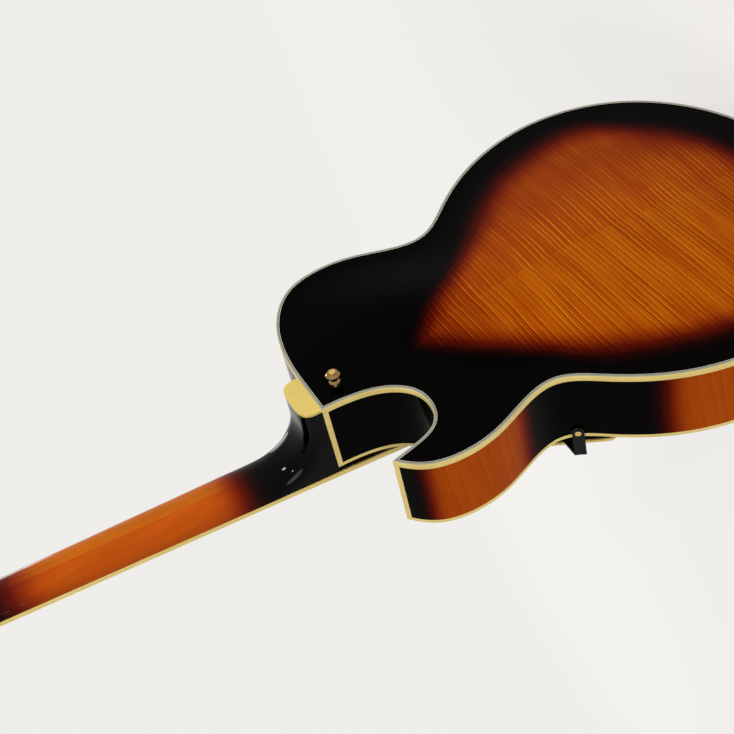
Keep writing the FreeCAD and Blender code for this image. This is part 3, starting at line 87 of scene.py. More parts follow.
def runLength(path):  # distance along a path to each of its points
    return np.concatenate([[0], np.cumsum(np.linalg.norm(np.diff(path, axis=0), axis=1))])


def softCurve(points, count):
    # Cubic through few points at chord-length speed; the end slopes are those of a cubic through four points
    points = np.asarray(points, float)
    steps = np.linalg.norm(np.diff(points, axis=0), axis=1)
    knots = runLength(points)
    n = len(points)
    slopes = np.zeros((n, n))
    right = np.zeros_like(points)
    for end, four in ((0, slice(0, 4)), (n - 1, slice(n - 4, n))):
        powers = np.vander(knots[four] - knots[end], 4, increasing=True)
        right[end] = np.linalg.solve(powers, points[four])[1]
        slopes[end, end] = 1
    lean = np.diff(points, axis=0) / steps[:, None]
    for i in range(1, n - 1):
        slopes[i, i - 1:i + 2] = steps[i], 2 * (steps[i - 1] + steps[i]), steps[i - 1]
        right[i] = 3 * (steps[i] * lean[i - 1] + steps[i - 1] * lean[i])
    tangents = np.linalg.solve(slopes, right)
    t = np.linspace(0, knots[-1], count)
    i = np.clip(np.searchsorted(knots, t) - 1, 0, n - 2)
    h = steps[i][:, None]
    s = ((t - knots[i]) / steps[i])[:, None]
    return ((2 * s ** 3 - 3 * s ** 2 + 1) * points[i] + (s ** 3 - 2 * s ** 2 + s) * h * tangents[i]
            + (3 * s ** 2 - 2 * s ** 3) * points[i + 1] + (s ** 3 - s ** 2) * h * tangents[i + 1])


def fullTurn(sides):  # angles once round, in even steps
    return np.linspace(0, 2 * math.pi, sides, endpoint=False)


def unit(rows):  # each vector brought to a length of one
    return rows / np.linalg.norm(rows, axis=-1, keepdims=True)


def evenly(path, count):  # the same path with evenly spaced points
    along = runLength(path)
    t = np.linspace(0, along[-1], count)
    return np.stack([np.interp(t, along, column) for column in path.T], axis=1)


# Meshes
def linked(name, data):
    made = bpy.data.objects.new(name, data)
    scene.collection.objects.link(made)
    return made


def newObject(mesh, body, slotName, *materials, sharp=40):
    # Named after its mesh; a body of None leaves the piece free for a blend between two bodies
    mesh.validate()
    mesh.shade_smooth()
    mesh.set_sharp_from_angle(angle=math.radians(sharp))
    piece = linked(mesh.name, mesh)
    for material in materials:
        mesh.materials.append(material)
    if body:
        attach(piece, body)
    return piece


def gridMesh(name, points, closeU=False, closeV=False, capU=False, drop=None):
    # Quads between neighbours of a (rows, columns, 3) array, or of several such arrays stacked; capU closes
    # each end row with one face, drop marks the quads to leave out
    stack = points if points.ndim == 4 else points[None]
    count, rows, columns = stack.shape[:3]
    index = np.arange(rows * columns).reshape(rows, columns)
    if closeU:
        index = np.vstack([index, index[:1]])
    if closeV:
        index = np.hstack([index, index[:, :1]])
    quads = np.stack([index[:-1, :-1], index[1:, :-1], index[1:, 1:], index[:-1, 1:]], axis=-1)
    quads = quads.reshape(-1, 4) if drop is None else quads[~drop]
    shift = np.arange(count)[:, None, None] * rows * columns
    faces = (quads + shift).reshape(-1, 4).tolist()
    if capU:
        caps = np.stack([np.arange(columns), rows * columns - 1 - np.arange(columns)])
        faces += (caps + shift).reshape(-1, columns).tolist()
    mesh = bpy.data.meshes.new(name)
    mesh.from_pydata(stack.reshape(-1, 3).tolist(), [], faces)
    return mesh


def faceOut(mesh):  # turn every face outwards on a closed shell
    shell = bmesh.new()
    shell.from_mesh(mesh)
    bmesh.ops.recalc_face_normals(shell, faces=shell.faces)
    shell.to_mesh(mesh)
    shell.free()
    return mesh


def closedMesh(name, points):  # a grid closed round its columns, with a cap on each end row
    return faceOut(gridMesh(name, points, closeV=True, capU=True))


def setBurst(mesh, values):  # how far into the dark edge each vertex lies, for the materials to read
    layer = mesh.attributes.new("burst", "FLOAT", "POINT")
    layer.data.foreach_set("value", np.asarray(values, np.float32).ravel())


def setMap(mesh, uv):  # a UV map from one (u, v) pair for each vertex
    corner = np.zeros(len(mesh.loops), np.int32)
    mesh.loops.foreach_get("vertex_index", corner)
    layer = mesh.uv_layers.new(name="UVMap")
    layer.data.foreach_set("uv", np.asarray(uv, np.float32)[corner].ravel())


def setFinish(mesh, numbers):  # which of the piece's materials each face takes, in the order of the faces
    full = np.zeros(len(mesh.polygons), np.int32)
    full[:len(numbers)] = numbers
    mesh.polygons.foreach_set("material_index", full)


def insidePolygon(points, polygon):  # crossing count of a ray along the second coordinate
    x, y = points.T[:, :, None]
    (ax, ay), (bx, by) = polygon.T, np.roll(polygon, -1, 0).T
    between = (ax <= x) != (bx <= x)
    span = np.where(bx == ax, 1e-12, bx - ax)
    return (between & (y < ay + (x - ax) / span * (by - ay))).sum(1) % 2 == 1


def clearOf(points, polygon, distance):  # True where a point is further than that from each polygon corner
    return np.linalg.norm(points[:, None] - polygon[None], axis=2).min(1) > distance


# Plan of the body; turns in degrees, curves as shares of the way (down, across) between two places
plan = dict(length=540.0, upper=293.0, upperAt=78.0, waist=244.0, waistAt=184.0, lower=406.0, lowerAt=364.0,
            heelFlat=50.0, cutDepth=82.0, tipAt=23.0, fullness=2.2, depth=81.0, crown=17.0, edgeFlat=14.0,
            plate=5.0, rib=3.0, bindWidth=2.0, backBind=6.5, topBind=4.2, bindSoft=0.5, rimStep=3.0,
            netStep=4.0, archPowers=(1.5, 1.6), shoulderTurns=(25, 48, 68), tailTurns=(30, 56, 76, 90),
            toWaist=((0, 0), (0.36, 0.20), (0.70, 0.77), (1, 1)), toLower=((0.22, 0.31), (0.54, 0.78), (1, 1)),
            biteHeel=((0.46, 0.045), (0.80, 0.18), (0.965, 0.355), (1.0, 0.60)),
            biteHorn=((0.855, 0.815), (0.52, 0.925)))


def halfPlan():
    # Heel to tail as (down, half width): superellipse shoulder, hollow waist, elliptical tail
    flat = plan["heelFlat"] / 2
    upper, waist, lower = (np.array([plan[key + "At"], plan[key] / 2]) for key in ("upper", "waist", "lower"))
    turn, power = np.radians(plan["shoulderTurns"]), 2 / plan["fullness"]
    shoulder = np.stack([upper[0] * (1 - np.cos(turn) ** power),
                         flat + (upper[1] - flat) * np.sin(turn) ** power], axis=1)
    toWaist = upper + plan["toWaist"] * (waist - upper)
    toLower = waist + plan["toLower"] * (lower - waist)
    turn = np.radians(plan["tailTurns"])
    tail = np.stack([lower[0] + (plan["length"] - lower[0]) * np.sin(turn), lower[1] * np.cos(turn)], axis=1)
    return np.vstack([[[0, flat]], shoulder, toWaist, toLower, tail])


def bodyPlan():
    # The closed rim as (down, across), from the heel's middle round the bass side, tail, horn and cutaway,
    # and where along it the heel's bass corner, tail, horn tip and treble corner are
    half = halfPlan()
    dense = softCurve(np.vstack([half * [1, -1], half[-2::-1]]), count=6001)
    tail = int(np.argmax(dense[:, 0]))
    tip = tail + int(np.argmax(dense[tail:, 0] < plan["tipAt"]))
    flat, depth, tipAt = plan["heelFlat"] / 2, plan["cutDepth"], plan["tipAt"]
    reach = dense[tip, 1] - flat
    bite = [(0, flat)] + [(depth * d, flat + reach * a) for d, a in plan["biteHeel"]]
    bite += [(tipAt + (depth - tipAt) * d, flat + reach * a) for d, a in plan["biteHorn"]]
    bite = softCurve(bite + [tuple(dense[tip])], count=900)[::-1]
    runs = [np.array([[0, 0], [0, -flat]]), dense[:tail + 1], dense[tail:tip + 1], bite,
            np.array([[0, flat], [0, 0]])]
    made = [evenly(run, max(3, int(runLength(run)[-1] / plan["rimStep"]))) for run in runs]
    marks = np.cumsum([len(run) - 1 for run in made])
    return np.vstack([run[:-1] for run in made]), marks[:4]


def insetRim(rim, distance):  # moved inwards along mitred corner normals
    ahead = unit(np.roll(rim, -1, 0) - rim)
    behind = np.roll(ahead, 1, 0)
    area = np.sum(rim[:, 0] * np.roll(rim[:, 1], -1) - np.roll(rim[:, 0], -1) * rim[:, 1])
    turn = np.array([[0, 1], [-1, 0]]) * np.sign(area)
    first, second = behind @ turn, ahead @ turn
    mitre = (first + second) / (1 + np.sum(first * second, axis=1))[:, None]
    return rim + mitre * distance


rim, (heelBass, tailEnd, hornTip, heelTreble) = bodyPlan()
bassSide = rim[heelBass:tailEnd + 1]


def arch(down, across):
    # The crown times a power of a sine along the body times a power of a sine across it, inside a flat edge
    edge = plan["edgeFlat"]
    low = edge + np.interp(down, *bassSide.T)  # inner end of the bass side's flat edge
    free = smoothStep(plan["cutDepth"], plan["waistAt"], down)
    high = (1 - free) * (plan["heelFlat"] / 2 - edge / 2) + free * -low
    along = np.clip((down - edge) / (plan["length"] - 2 * edge), 0, 1)
    over = np.clip((across - low) / np.maximum(high - low, 1e-6), 0, 1)
    first, second = plan["archPowers"]
    return plan["crown"] * np.sin(math.pi * along) ** first * np.sin(math.pi * over) ** second


def plateMesh(name, border, holes, riseOf, inward, rimClear=0.6, holeClear=0.4):
    # A flat net of points inside the border, joined into triangles and lifted by the arch, with a second
    # skin one plate thickness inwards and walls along every free edge
    step = plan["netStep"]
    steps = [np.arange(low, high, step) for low, high in zip(border.min(0), border.max(0))]
    down, across = np.meshgrid(*steps, indexing="ij")
    across = across + (np.arange(down.shape[0]) % 2 * step / 2)[:, None]
    net = np.stack([down.ravel(), across.ravel()], axis=1)
    keep = insidePolygon(net, border) & clearOf(net, border, step * rimClear)
    for hole in holes:
        keep &= ~insidePolygon(net, hole) & clearOf(net, hole, step * holeClear)
    loops = [border] + list(holes)
    points = np.vstack(loops + [net[keep]])
    starts = np.cumsum([0] + [len(loop) for loop in loops])
    edges = [(a + k, a + (k + 1) % (b - a)) for a, b in zip(starts, starts[1:]) for k in range(b - a)]
    made = delaunay_2d_cdt([Vector(p) for p in points.tolist()], edges, [], 1, 1e-5)
    flat = np.array([tuple(v) for v in made[0]])
    faces = np.array(made[2])
    middle = flat[faces].mean(1)
    inside = insidePolygon(middle, border)
    for hole in holes:
        inside &= ~insidePolygon(middle, hole)
    used, faces = np.unique(faces[inside], return_inverse=True)
    flat, faces = flat[used], faces.reshape(-1, 3)
    rise = riseOf(flat[:, 0], flat[:, 1])
    skins = np.vstack([spot(flat[:, 0], flat[:, 1], rise), spot(flat[:, 0], flat[:, 1], rise + inward)])
    count = len(flat)
    ways = np.vstack([faces[:, [0, 1]], faces[:, [1, 2]], faces[:, [2, 0]]])
    free = ways[~np.isin(ways[:, 0] * count + ways[:, 1], ways[:, 1] * count + ways[:, 0])]
    walls = np.stack([free[:, 1], free[:, 0], free[:, 0] + count, free[:, 1] + count], axis=1)
    mesh = bpy.data.meshes.new(name)
    mesh.from_pydata(skins.tolist(), [], faces.tolist() + (faces[:, ::-1] + count).tolist() + walls.tolist())
    return faceOut(mesh), np.vstack([flat, flat])


print("plan: rim of", len(rim), "points")


# Materials
def newMaterial(name, color=(0.5, 0.5, 0.5), roughness=0.3, metallic=0.0, specular=0.5):
    material = bpy.data.materials.new(name)
    material.use_nodes = True
    shader = material.node_tree.nodes["Principled BSDF"]
    values = {"Base Color": (*color, 1), "Roughness": roughness, "Metallic": metallic,
              "Specular IOR Level": specular}
    for socket, value in values.items():
        shader.inputs[socket].default_value = value
    return material, material.node_tree, shader


def addNode(tree, kind, inputs=None, **settings):
    # A shader node; an input is a plain value, a colour or another node's output
    made = tree.nodes.new("ShaderNode" + kind)
    for key, value in settings.items():
        setattr(made, key, value)
    for key, value in (inputs or {}).items():
        socket = made.inputs[key]
        if isinstance(value, bpy.types.NodeSocket):
            tree.links.new(value, socket)
        else:
            socket.default_value = (*value, 1) if socket.type == "RGBA" else value
    return made


def math1(tree, operation, a, b=0.0, c=0.0):
    return addNode(tree, "Math", {0: a, 1: b, 2: c}, operation=operation).outputs[0]


def times(tree, product, *factors):
    for factor in factors:
        product = math1(tree, "MULTIPLY", product, factor)
    return product


def timesPlus(tree, a, b, c):  # a times b, plus c
    return math1(tree, "MULTIPLY_ADD", a, b, c)


def blendValues(tree, a, share, b):  # this share of a, the rest of b
    return timesPlus(tree, a, share, times(tree, b, 1 - share))


def blendColors(tree, factor, a, b, how="MIX"):
    return addNode(tree, "Mix", {0: factor, 6: a, 7: b}, data_type="RGBA", blend_type=how).outputs[2]


def softRange(tree, value, low, high, start=0.0, end=1.0):  # an S from start at low to end at high
    return addNode(tree, "MapRange", {0: value, 1: low, 2: high, 3: start, 4: end},
                   interpolation_type="SMOOTHSTEP").outputs[0]


def ramp(tree, factor, stops):  # (position, colour) stops over a factor
    made = addNode(tree, "ValToRGB", {0: factor})
    elements = made.color_ramp.elements
    while len(elements) < len(stops):
        elements.new(0.5)
    for element, (place, color) in zip(elements, stops):
        element.position = place
        element.color = (*color, 1)
    return made.outputs[0]


def shaded(color, share):  # a colour times one number, or one for each of red, green and blue
    return tuple(np.multiply(color, share))


def noise(tree, vector, scale, detail=3.0, rough=0.5, seed=0.0):
    return addNode(tree, "TexNoise", {"Vector": vector, "W": seed, "Scale": scale, "Detail": detail,
                                      "Roughness": rough}, noise_dimensions="4D").outputs[0]


def places(tree, scale=(1, 1, 1)):  # object coordinates, stretched
    source = addNode(tree, "TexCoord").outputs["Object"]
    return addNode(tree, "Mapping", {"Vector": source, "Scale": scale}).outputs[0]


def axes(tree, coords="Object"):  # the coordinates one by one, as X, Y and Z
    return addNode(tree, "SeparateXYZ", {0: addNode(tree, "TexCoord").outputs[coords]}).outputs


def plane(tree, x, y):  # two values as one flat place
    return addNode(tree, "CombineXYZ", {0: x, 1: y}).outputs[0]


def paint(tree, shader, color, roughness=None):  # node outputs to the shader
    tree.links.new(color, shader.inputs["Base Color"])
    if roughness is not None:
        tree.links.new(roughness, shader.inputs["Roughness"])


def addBump(tree, shader, height, strength, depth):
    bump = addNode(tree, "Bump", {"Height": height, "Strength": strength, "Distance": depth})
    tree.links.new(bump.outputs[0], shader.inputs["Normal"])


# Clear colours over the wood, from the middle of the burst out to its edge
burstTints = [(0.0, (1, 1, 1)), (0.22, (0.86, 0.74, 0.6)), (0.42, (0.52, 0.27, 0.16)),
              (0.60, (0.2, 0.045, 0.03)), (0.78, (0.035, 0.004, 0.004)), (0.92, (0.002, 0.001, 0.001)),
              (1.0, (0.0006, 0.0006, 0.0006))]
lacquer = dict(roughness=0.10, specular=0.02)


def burstPlace(tree):
    return addNode(tree, "Attribute", attribute_name="burst").outputs["Fac"]


def tint(tree, shader, wood, burst):
    paint(tree, shader, blendColors(tree, 1.0, wood, ramp(tree, burst, burstTints), "MULTIPLY"))


# Figure of the maple: bends as (scale, seed, metres), drawn-out noises as (fineness, reach, detail, seed),
# lines as (delay, sharpness) of the sine
flame = dict(bends=((8.0, 0.0, 0.006), (42.0, 7.0, 0.0011)), jitter=(0.45, 4.2, 1.0, 2.0), jitterTurn=7.0,
             runs=(0.7, 8.4, 1.0, 9.0), dashes=(4.0, 240.0, 1.0, 4.0), broad=(0.35, 9.6, 2.0, 1.0),
             silk=(5.0, 30.0, 1.0, 3.0), cloud=15.0, cloudTint=0.10, darkLine=(1.4, 8.0),
             brightLine=(0.0, 10.0))


def flamedMaple(name, seed, base, bright, dark, lean, lines, plain=(1.0, 2.0), across="X", along="Z",
                coords="Object", count=190.0):
    # So many lines to the metre: the peaks of a sine over the distance across them, whose phase a noise shifts.
    # A dark line lies beside each bright one; noises drawn out along them start and stop them
    material, tree, shader = newMaterial(name, **lacquer)
    place = axes(tree, coords)
    wide, long = place[across], place[along]
    flat = plane(tree, wide, long)
    bent = timesPlus(tree, wide, lean, long)
    for scale, shift, size in flame["bends"]:
        about = math1(tree, "SUBTRACT", noise(tree, flat, scale, 1.0, 0.5, seed + shift), 0.5)
        bent = timesPlus(tree, about, size, bent)

    def stripes(layer):
        fineness, reach, detail, shift = flame[layer]
        vector = plane(tree, times(tree, wide, reach), times(tree, bent, count * fineness))
        return noise(tree, vector, 1.0, detail, 0.5, seed + shift)

    jitter = times(tree, stripes("jitter"), flame["jitterTurn"])
    phase = timesPlus(tree, bent, 2 * math.pi * count, jitter)

    def peaks(delay, power):
        wave = math1(tree, "SINE", math1(tree, "SUBTRACT", phase, delay))
        return math1(tree, "POWER", timesPlus(tree, wave, 0.5, 0.5), power)

    cloud = noise(tree, flat, flame["cloud"], 2.0, 0.5, seed + 5)
    strong = times(tree, softRange(tree, stripes("runs"), 0.34, 0.54, 0.12, 1.0),
                   softRange(tree, wide, *plain, 1.0, 0.25), softRange(tree, cloud, 0.34, 0.54, 0.3, 1.0),
                   softRange(tree, stripes("dashes"), 0.3, 0.6, 0.55, 1.0))
    tone = blendValues(tree, stripes("silk"), 0.35, softRange(tree, stripes("broad"), 0.34, 0.66))
    wood = blendColors(tree, times(tree, tone, lines[2]), base, bright)
    wood = blendColors(tree, times(tree, peaks(*flame["darkLine"]), strong, lines[1]), wood, dark)
    wood = blendColors(tree, times(tree, peaks(*flame["brightLine"]), strong, lines[0]), wood, bright)
    uneven = math1(tree, "SUBTRACT", cloud, 0.5)
    tint(tree, shader, wood, timesPlus(tree, uneven, flame["cloudTint"], burstPlace(tree)))
    return material


def topWood(name, seed, low, high):
    # Straight fine grain along the body, with a faint silk across it
    material, tree, shader = newMaterial(name, **lacquer)
    wander = math1(tree, "SUBTRACT", noise(tree, places(tree), 6.0, 1.0, 0.4, seed), 0.5)
    place = axes(tree)
    across = timesPlus(tree, wander, 0.012, place["X"])
    lines = plane(tree, times(tree, across, 620.0), times(tree, place["Z"], 9.0))
    grain = noise(tree, lines, 1.0, 2.0, 0.55, seed + 1)
    silk = noise(tree, places(tree, (25, 1, 420)), 1.0, 1.0, 0.5, seed + 2)
    wood = ramp(tree, blendValues(tree, silk, 0.25, grain), [(0.36, low), (0.62, high)])
    tint(tree, shader, wood, burstPlace(tree))
    return material


def creamTrim(name, color=(0.76, 0.60, 0.20)):
    # Aged cream plastic: slow yellowing, fine streaks and a little gloss change
    material, tree, shader = newMaterial(name, specular=0.4)
    slow = noise(tree, places(tree), 22.0, 2.0)
    streak = noise(tree, places(tree, (160, 160, 40)), 1.0, 2.0)
    yellowed = shaded(color, (0.86, 0.80, 0.66))
    paint(tree, shader, ramp(tree, blendValues(tree, streak, 0.3, slow), [(0.3, yellowed), (0.7, color)]),
          timesPlus(tree, slow, 0.16, 0.2))
    return material


def plainWood(name, low, high, grain, roughness):
    # Pores and streaks drawn out along the length
    material, tree, shader = newMaterial(name, roughness=roughness, specular=0.3)
    streak = noise(tree, places(tree, grain), 1.0, 4.0, 0.6)
    slow = noise(tree, places(tree, (20, 20, 4)), 1.0, 2.0)
    paint(tree, shader, ramp(tree, blendValues(tree, slow, 0.35, streak), [(0.34, low), (0.66, high)]))
    addBump(tree, shader, streak, 0.25, 0.0003)
    return material


def platedMetal(name, color, roughness):
    # Polished plating with a cloudy bloom, so that no two patches shine quite alike
    material, tree, shader = newMaterial(name, metallic=1.0)
    bloom = noise(tree, places(tree), 180.0, 4.0, 0.6)
    dull = shaded(color, (0.88, 0.84, 0.76))
    paint(tree, shader, ramp(tree, bloom, [(0.35, dull), (0.6, color)]),
          timesPlus(tree, bloom, 0.096, roughness - 0.0416))
    return material


def glossBlack(name, color=(0.006, 0.006, 0.007), roughness=0.16, specular=0.42):
    # Black plastic with faint hairlines in its polish
    material, tree, shader = newMaterial(name, specular=specular)
    hair = noise(tree, places(tree, (900, 900, 60)), 1.0, 2.0)
    cloud = noise(tree, places(tree), 40.0, 2.0)
    paint(tree, shader, ramp(tree, cloud, [(0.3, color), (0.7, shaded(color, 1.7))]),
          timesPlus(tree, hair, 0.14, roughness - 0.05))
    return material


def pearlShell(name):
    # Drifting pale bands, warm to cool, as in cut shell
    material, tree, shader = newMaterial(name, roughness=0.2, specular=0.6)
    drift = noise(tree, places(tree, (60, 60, 26)), 1.0, 3.0, 0.6)
    bands = addNode(tree, "TexWave", {"Vector": places(tree), "Scale": 60.0, "Distortion": 9.0,
                                      "Detail": 2.0, "Detail Scale": 1.4}).outputs["Fac"]
    stops = [(0.25, (0.62, 0.70, 0.66)), (0.45, (0.86, 0.84, 0.78)), (0.6, (0.80, 0.70, 0.72)),
             (0.8, (0.92, 0.92, 0.88))]
    paint(tree, shader, ramp(tree, blendValues(tree, bands, 0.4, drift), stops))
    return material


backBassMaple = flamedMaple("flamedMapleBass", 3.0, (0.265, 0.034, 0.0004), (0.66, 0.200, 0.003),
                            (0.13, 0.014, 0.0002), -0.03, (0.95, 0.5, 0.16), (-0.03, -0.11))
backTrebleMaple = flamedMaple("flamedMapleTreble", 3.0, (0.27, 0.038, 0.0005), (0.60, 0.172, 0.002),
                              (0.10, 0.010, 0.0002), 0.085, (0.95, 1.0, 0.40), (0.10, 0.24))
ribMaple = flamedMaple("flamedMapleRib", 21.0, (0.33, 0.047, 0.0006), (0.49, 0.096, 0.001),
                       (0.24, 0.027, 0.0005), 0.1, (0.25, 0.35, 0.35), across="Y", along="X", coords="UV",
                       count=90.0)
spruce = topWood("spruceTop", 31.0, (0.36, 0.10, 0.008), (0.60, 0.21, 0.022))
creamBinding = creamTrim("creamBinding")
heelCream = creamTrim("heelCream", (0.64, 0.49, 0.13))
# A darker grey copy of the cream binding for its face beside the back plate: painted shade
paintedShadeBinding = creamTrim("paintedShadeBinding", (0.30, 0.31, 0.25))
whiteLine = creamTrim("whitePurfling", (0.60, 0.58, 0.50))
blackLine = glossBlack("blackPurfling")
goldPlate = platedMetal("goldPlate", (0.83, 0.56, 0.20), 0.17)
brightSteel = platedMetal("brightSteel", (0.66, 0.66, 0.64), 0.22)
# Gold of the strap buttons darkened to stand in for dark surroundings in its reflections: painted shade
paintedShadeGold = platedMetal("paintedShadeGold", (0.33, 0.215, 0.085), 0.12)
blackGloss = glossBlack("blackGloss", specular=0.25)
bracketBlack = glossBlack("bracketBlack", (0.003, 0.003, 0.003), 0.18, 0.1)
pearl = pearlShell("pearlShell")
ebony = plainWood("ebonyWood", (0.008, 0.006, 0.005), (0.035, 0.022, 0.015), (420, 420, 16), 0.4)
paleWood = plainWood("paleWood", (0.50, 0.34, 0.18), (0.70, 0.54, 0.33), (300, 300, 14), 0.65)
boneNut = creamTrim("boneNut", (0.80, 0.74, 0.58))
print("materials:", len(bpy.data.materials))


# Back and top plates
burstField = dict(back=([88, 108, 136, 192, 230, 280, 340, 375, 420, 462, 488, 503, 511],
                        [0, 29, 53, 88, 115, 148, 169, 174, 163, 133, 97, 54, 0]),
                  top=([30, 70, 110, 150, 190, 240, 300, 350, 400, 440, 475, 500, 512],
                       [0, 40, 62, 78, 92, 122, 154, 166, 160, 142, 104, 58, 0]),
                  soft=(-21.0, 48.0), sway=(10.0, 290.0, 215.0),
                  shade=((0.40, 245.0, 125.0), (0.22, 395.0, 455.0)), bassDarkening=(0.24, 25.0, 100.0))


def burstOf(face, down, across):
    # 0 in the amber field, 1 in the black edge: an S over the distance to the field's border. On the back the
    # narrow end leans to the treble side, both ends are darker and it grows darker and redder towards the bass
    # edge
    border = softCurve(np.stack(burstField[face], axis=1), count=240)
    field = np.vstack([border, border[::-1] * [1, -1]])
    onBack = int(face == "back")
    size, near, far = burstField["sway"]
    centre = onBack * size * smoothStep(near, far, down)
    points = np.stack([down, np.abs(across - centre)], axis=1)
    apart = np.linalg.norm(points[:, None] - border[None], axis=2).min(1)
    apart = np.where(insidePolygon(points, field), apart, -apart)
    shade = onBack * sum(size * smoothStep(near, far, down) for size, near, far in burstField["shade"])
    size, near, far = burstField["bassDarkening"]
    bassDarkening = onBack * size * smoothStep(near, far, centre - across)
    return np.clip(1 - smoothStep(*burstField["soft"], apart) * (1 - bassDarkening) + shade, 0, 1)


def platePair(face, holes, materials, slotName):
    # Bass and treble halves meet on the centre line
    edge, step = insetRim(rim, plan["bindWidth"]), plan["netStep"]
    halfLine = np.arange(edge[tailEnd, 0] - step, edge[0, 0] + step / 2, -step)[:, None] * [1, 0]
    borders = dict(bass=np.vstack([edge[:tailEnd + 1], halfLine]),
                   treble=np.vstack([edge[tailEnd:], edge[:1], halfLine[::-1]]))
    sign, base = (-1, 0) if face == "back" else (1, plan["depth"])
    for side, border in borders.items():
        own = [hole for hole in holes if insidePolygon(hole, border).any()]
        mesh, flat = plateMesh(f"{face}Plate{side.capitalize()}", border, own,
                               lambda d, a: base + sign * arch(d, a), -sign * plan["plate"])
        setBurst(mesh, burstOf(face, *flat.T))
        piece = newObject(mesh, "guitar", slotName, materials[side])
        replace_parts(piece, f"{face}_{side}_half")
        print(f"{face} plate, {side} half: {len(mesh.polygons)} faces")


platePair("back", [], dict(bass=backBassMaple, treble=backTrebleMaple), "flamed_maple")


# Openings of the top: sound holes, pickup windows, shafts
topSpec = dict(middle=264.0, across=99.0, half=59.0, eyes=(6.5, 8.0), windows=(136.0, 238.0),
               window=(18.9, 35.1), shafts=((352, 104, 4.1), (396, 92, 4.1), (366, 148, 4.1), (410, 134, 4.1),
                                            (76, -92, 6.1)),
               spine=((-0.84, -24, 2.2), (-0.98, -15, 2.4), (-0.86, -3, 3.2), (-0.45, -1, 4.6), (0, 0, 5.6),
                      (0.45, 1, 4.6), (0.86, 3, 3.2), (0.98, 15, 2.4), (0.84, 24, 2.2)))


def circle(down, across, radius, sides=28):
    turn = fullTurn(sides)
    return np.stack([down + radius * np.cos(turn), across + radius * np.sin(turn)], axis=1)


def soundHole(side):
    # A spine with a half width at each point, set off to either side of its run, and a round eye at each end
    spine = np.array(topSpec["spine"], float)
    at = [topSpec["middle"], topSpec["across"]] + spine[:, :2] * [topSpec["half"], 1]
    run = unit(np.vstack([at[1:2] - at[:1], at[2:] - at[:-2], at[-1:] - at[-2:-1]]))
    out = np.stack([-run[:, 1], run[:, 0]], axis=1) * spine[:, 2:]
    slot = np.vstack([softCurve(at + out, count=70), softCurve(at - out, count=70)[::-1]])
    eyes = [circle(*place, radius) for place, radius in zip(at[[0, -1]], topSpec["eyes"])]
    return [loop * [1, side] for loop in [slot] + eyes]


def window(down):  # a rectangle with a point every few millimetres
    long, wide = topSpec["window"]
    corners = np.array([(-long, -wide), (-long, wide), (long, wide), (long, -wide), (-long, -wide)])
    return evenly(corners, count=57)[:-1] + [down, 0]


topHoles = soundHole(-1) + soundHole(1) + [window(down) for down in topSpec["windows"]]
topHoles += [circle(*shaft) for shaft in topSpec["shafts"]]
platePair("top", topHoles, dict(bass=spruce, treble=spruce), "top_wood")


# Ribs and bindings
def rimAt(path, inset=0.0):  # places round the rim, path counted in rim points
    moved = insetRim(rim, inset)
    moved = np.vstack([moved, moved[:1]])
    order = np.arange(len(moved))
    return np.stack([np.interp(path, order, column) for column in moved.T], axis=1)


def band(name, path, profile, closed, drop=None):
    # A profile of (inset, rise) pairs carried round the rim
    rows = np.stack([spot(*rimAt(path, inset).T, rise) for inset, rise in profile], axis=1)
    mesh = gridMesh(name, rows, closeU=closed, closeV=True, capU=not closed, drop=drop)
    return faceOut(mesh), rows.shape


ribZones = dict(amber=((27, 60, 120, 170), (244, 294, 500, 535)), strip=5.2, jack=(364.0, 40.0, 5.6), rows=25)


def ribBurst(down):
    # Black, but amber between each zone's two S-shaped ends
    light = sum(smoothStep(a, b, down) * (1 - smoothStep(c, d, down)) for a, b, c, d in ribZones["amber"])
    return 1 - np.clip(light, 0, 1)


def ribPiece(name, node, first, last, cuts=(0, 0), dark=False):
    # Rim places from first to last, less the corner strip's reach at a marked end, with a hole for the jack
    step = [np.linalg.norm(rim[a] - rim[b % len(rim)]) for a, b in ((first + 1, first), (last - 1, last))]
    reach = ribZones["strip"] * np.array(cuts) / step
    path = np.linspace(first + reach[0], last - reach[1], last - first + 1)
    low, high = plan["backBind"], plan["depth"] - plan["topBind"]
    profile = [(0.0, rise) for rise in np.linspace(low, high, ribZones["rows"])]
    profile += [(plan["rib"], high), (plan["rib"], low)]
    run = rimAt(path)
    down, rise = run[:, 0], np.array(profile)[:, 1]
    middle = (rise + np.roll(rise, -1)) / 2
    jackAt, jackRise, jackRadius = ribZones["jack"]
    near = np.hypot((down[1:, None] + down[:-1, None]) / 2 - jackAt, middle[None] - jackRise) < jackRadius
    mesh, shape = band(name, path, profile, False, near & (run[1:, 1:] > 0))
    setBurst(mesh, np.repeat(np.ones(len(run)) if dark else ribBurst(down), shape[1]))
    setMap(mesh, np.stack([np.repeat(runLength(run), shape[1]), np.tile(rise, shape[0])], axis=1) * mm)
    piece = newObject(mesh, "guitar", "flamed_maple", ribMaple)
    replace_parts(piece, node)


ribPiece("ribBass", "rib_bass", 0, tailEnd)
ribPiece("ribTreble", "rib_treble", tailEnd, hornTip, (0, 1))
ribPiece("ribCutaway", "rib_cutaway", hornTip, heelTreble, (1, 1), True)
ribPiece("ribHeel", "rib_cutaway", heelTreble, len(rim), (1, 0), True)


def roundedEdge(inset, low, high, soft, sides=5):  # a rectangle whose two outer edges are quarter rounds
    turn = np.linspace(0, math.pi / 2, sides)
    outer = [(soft - soft * math.sin(t), low + soft - soft * math.cos(t)) for t in turn]
    upper = [(soft - soft * math.cos(t), high - soft + soft * math.sin(t)) for t in turn]
    return [(inset, low)] + outer + upper + [(inset, high)]


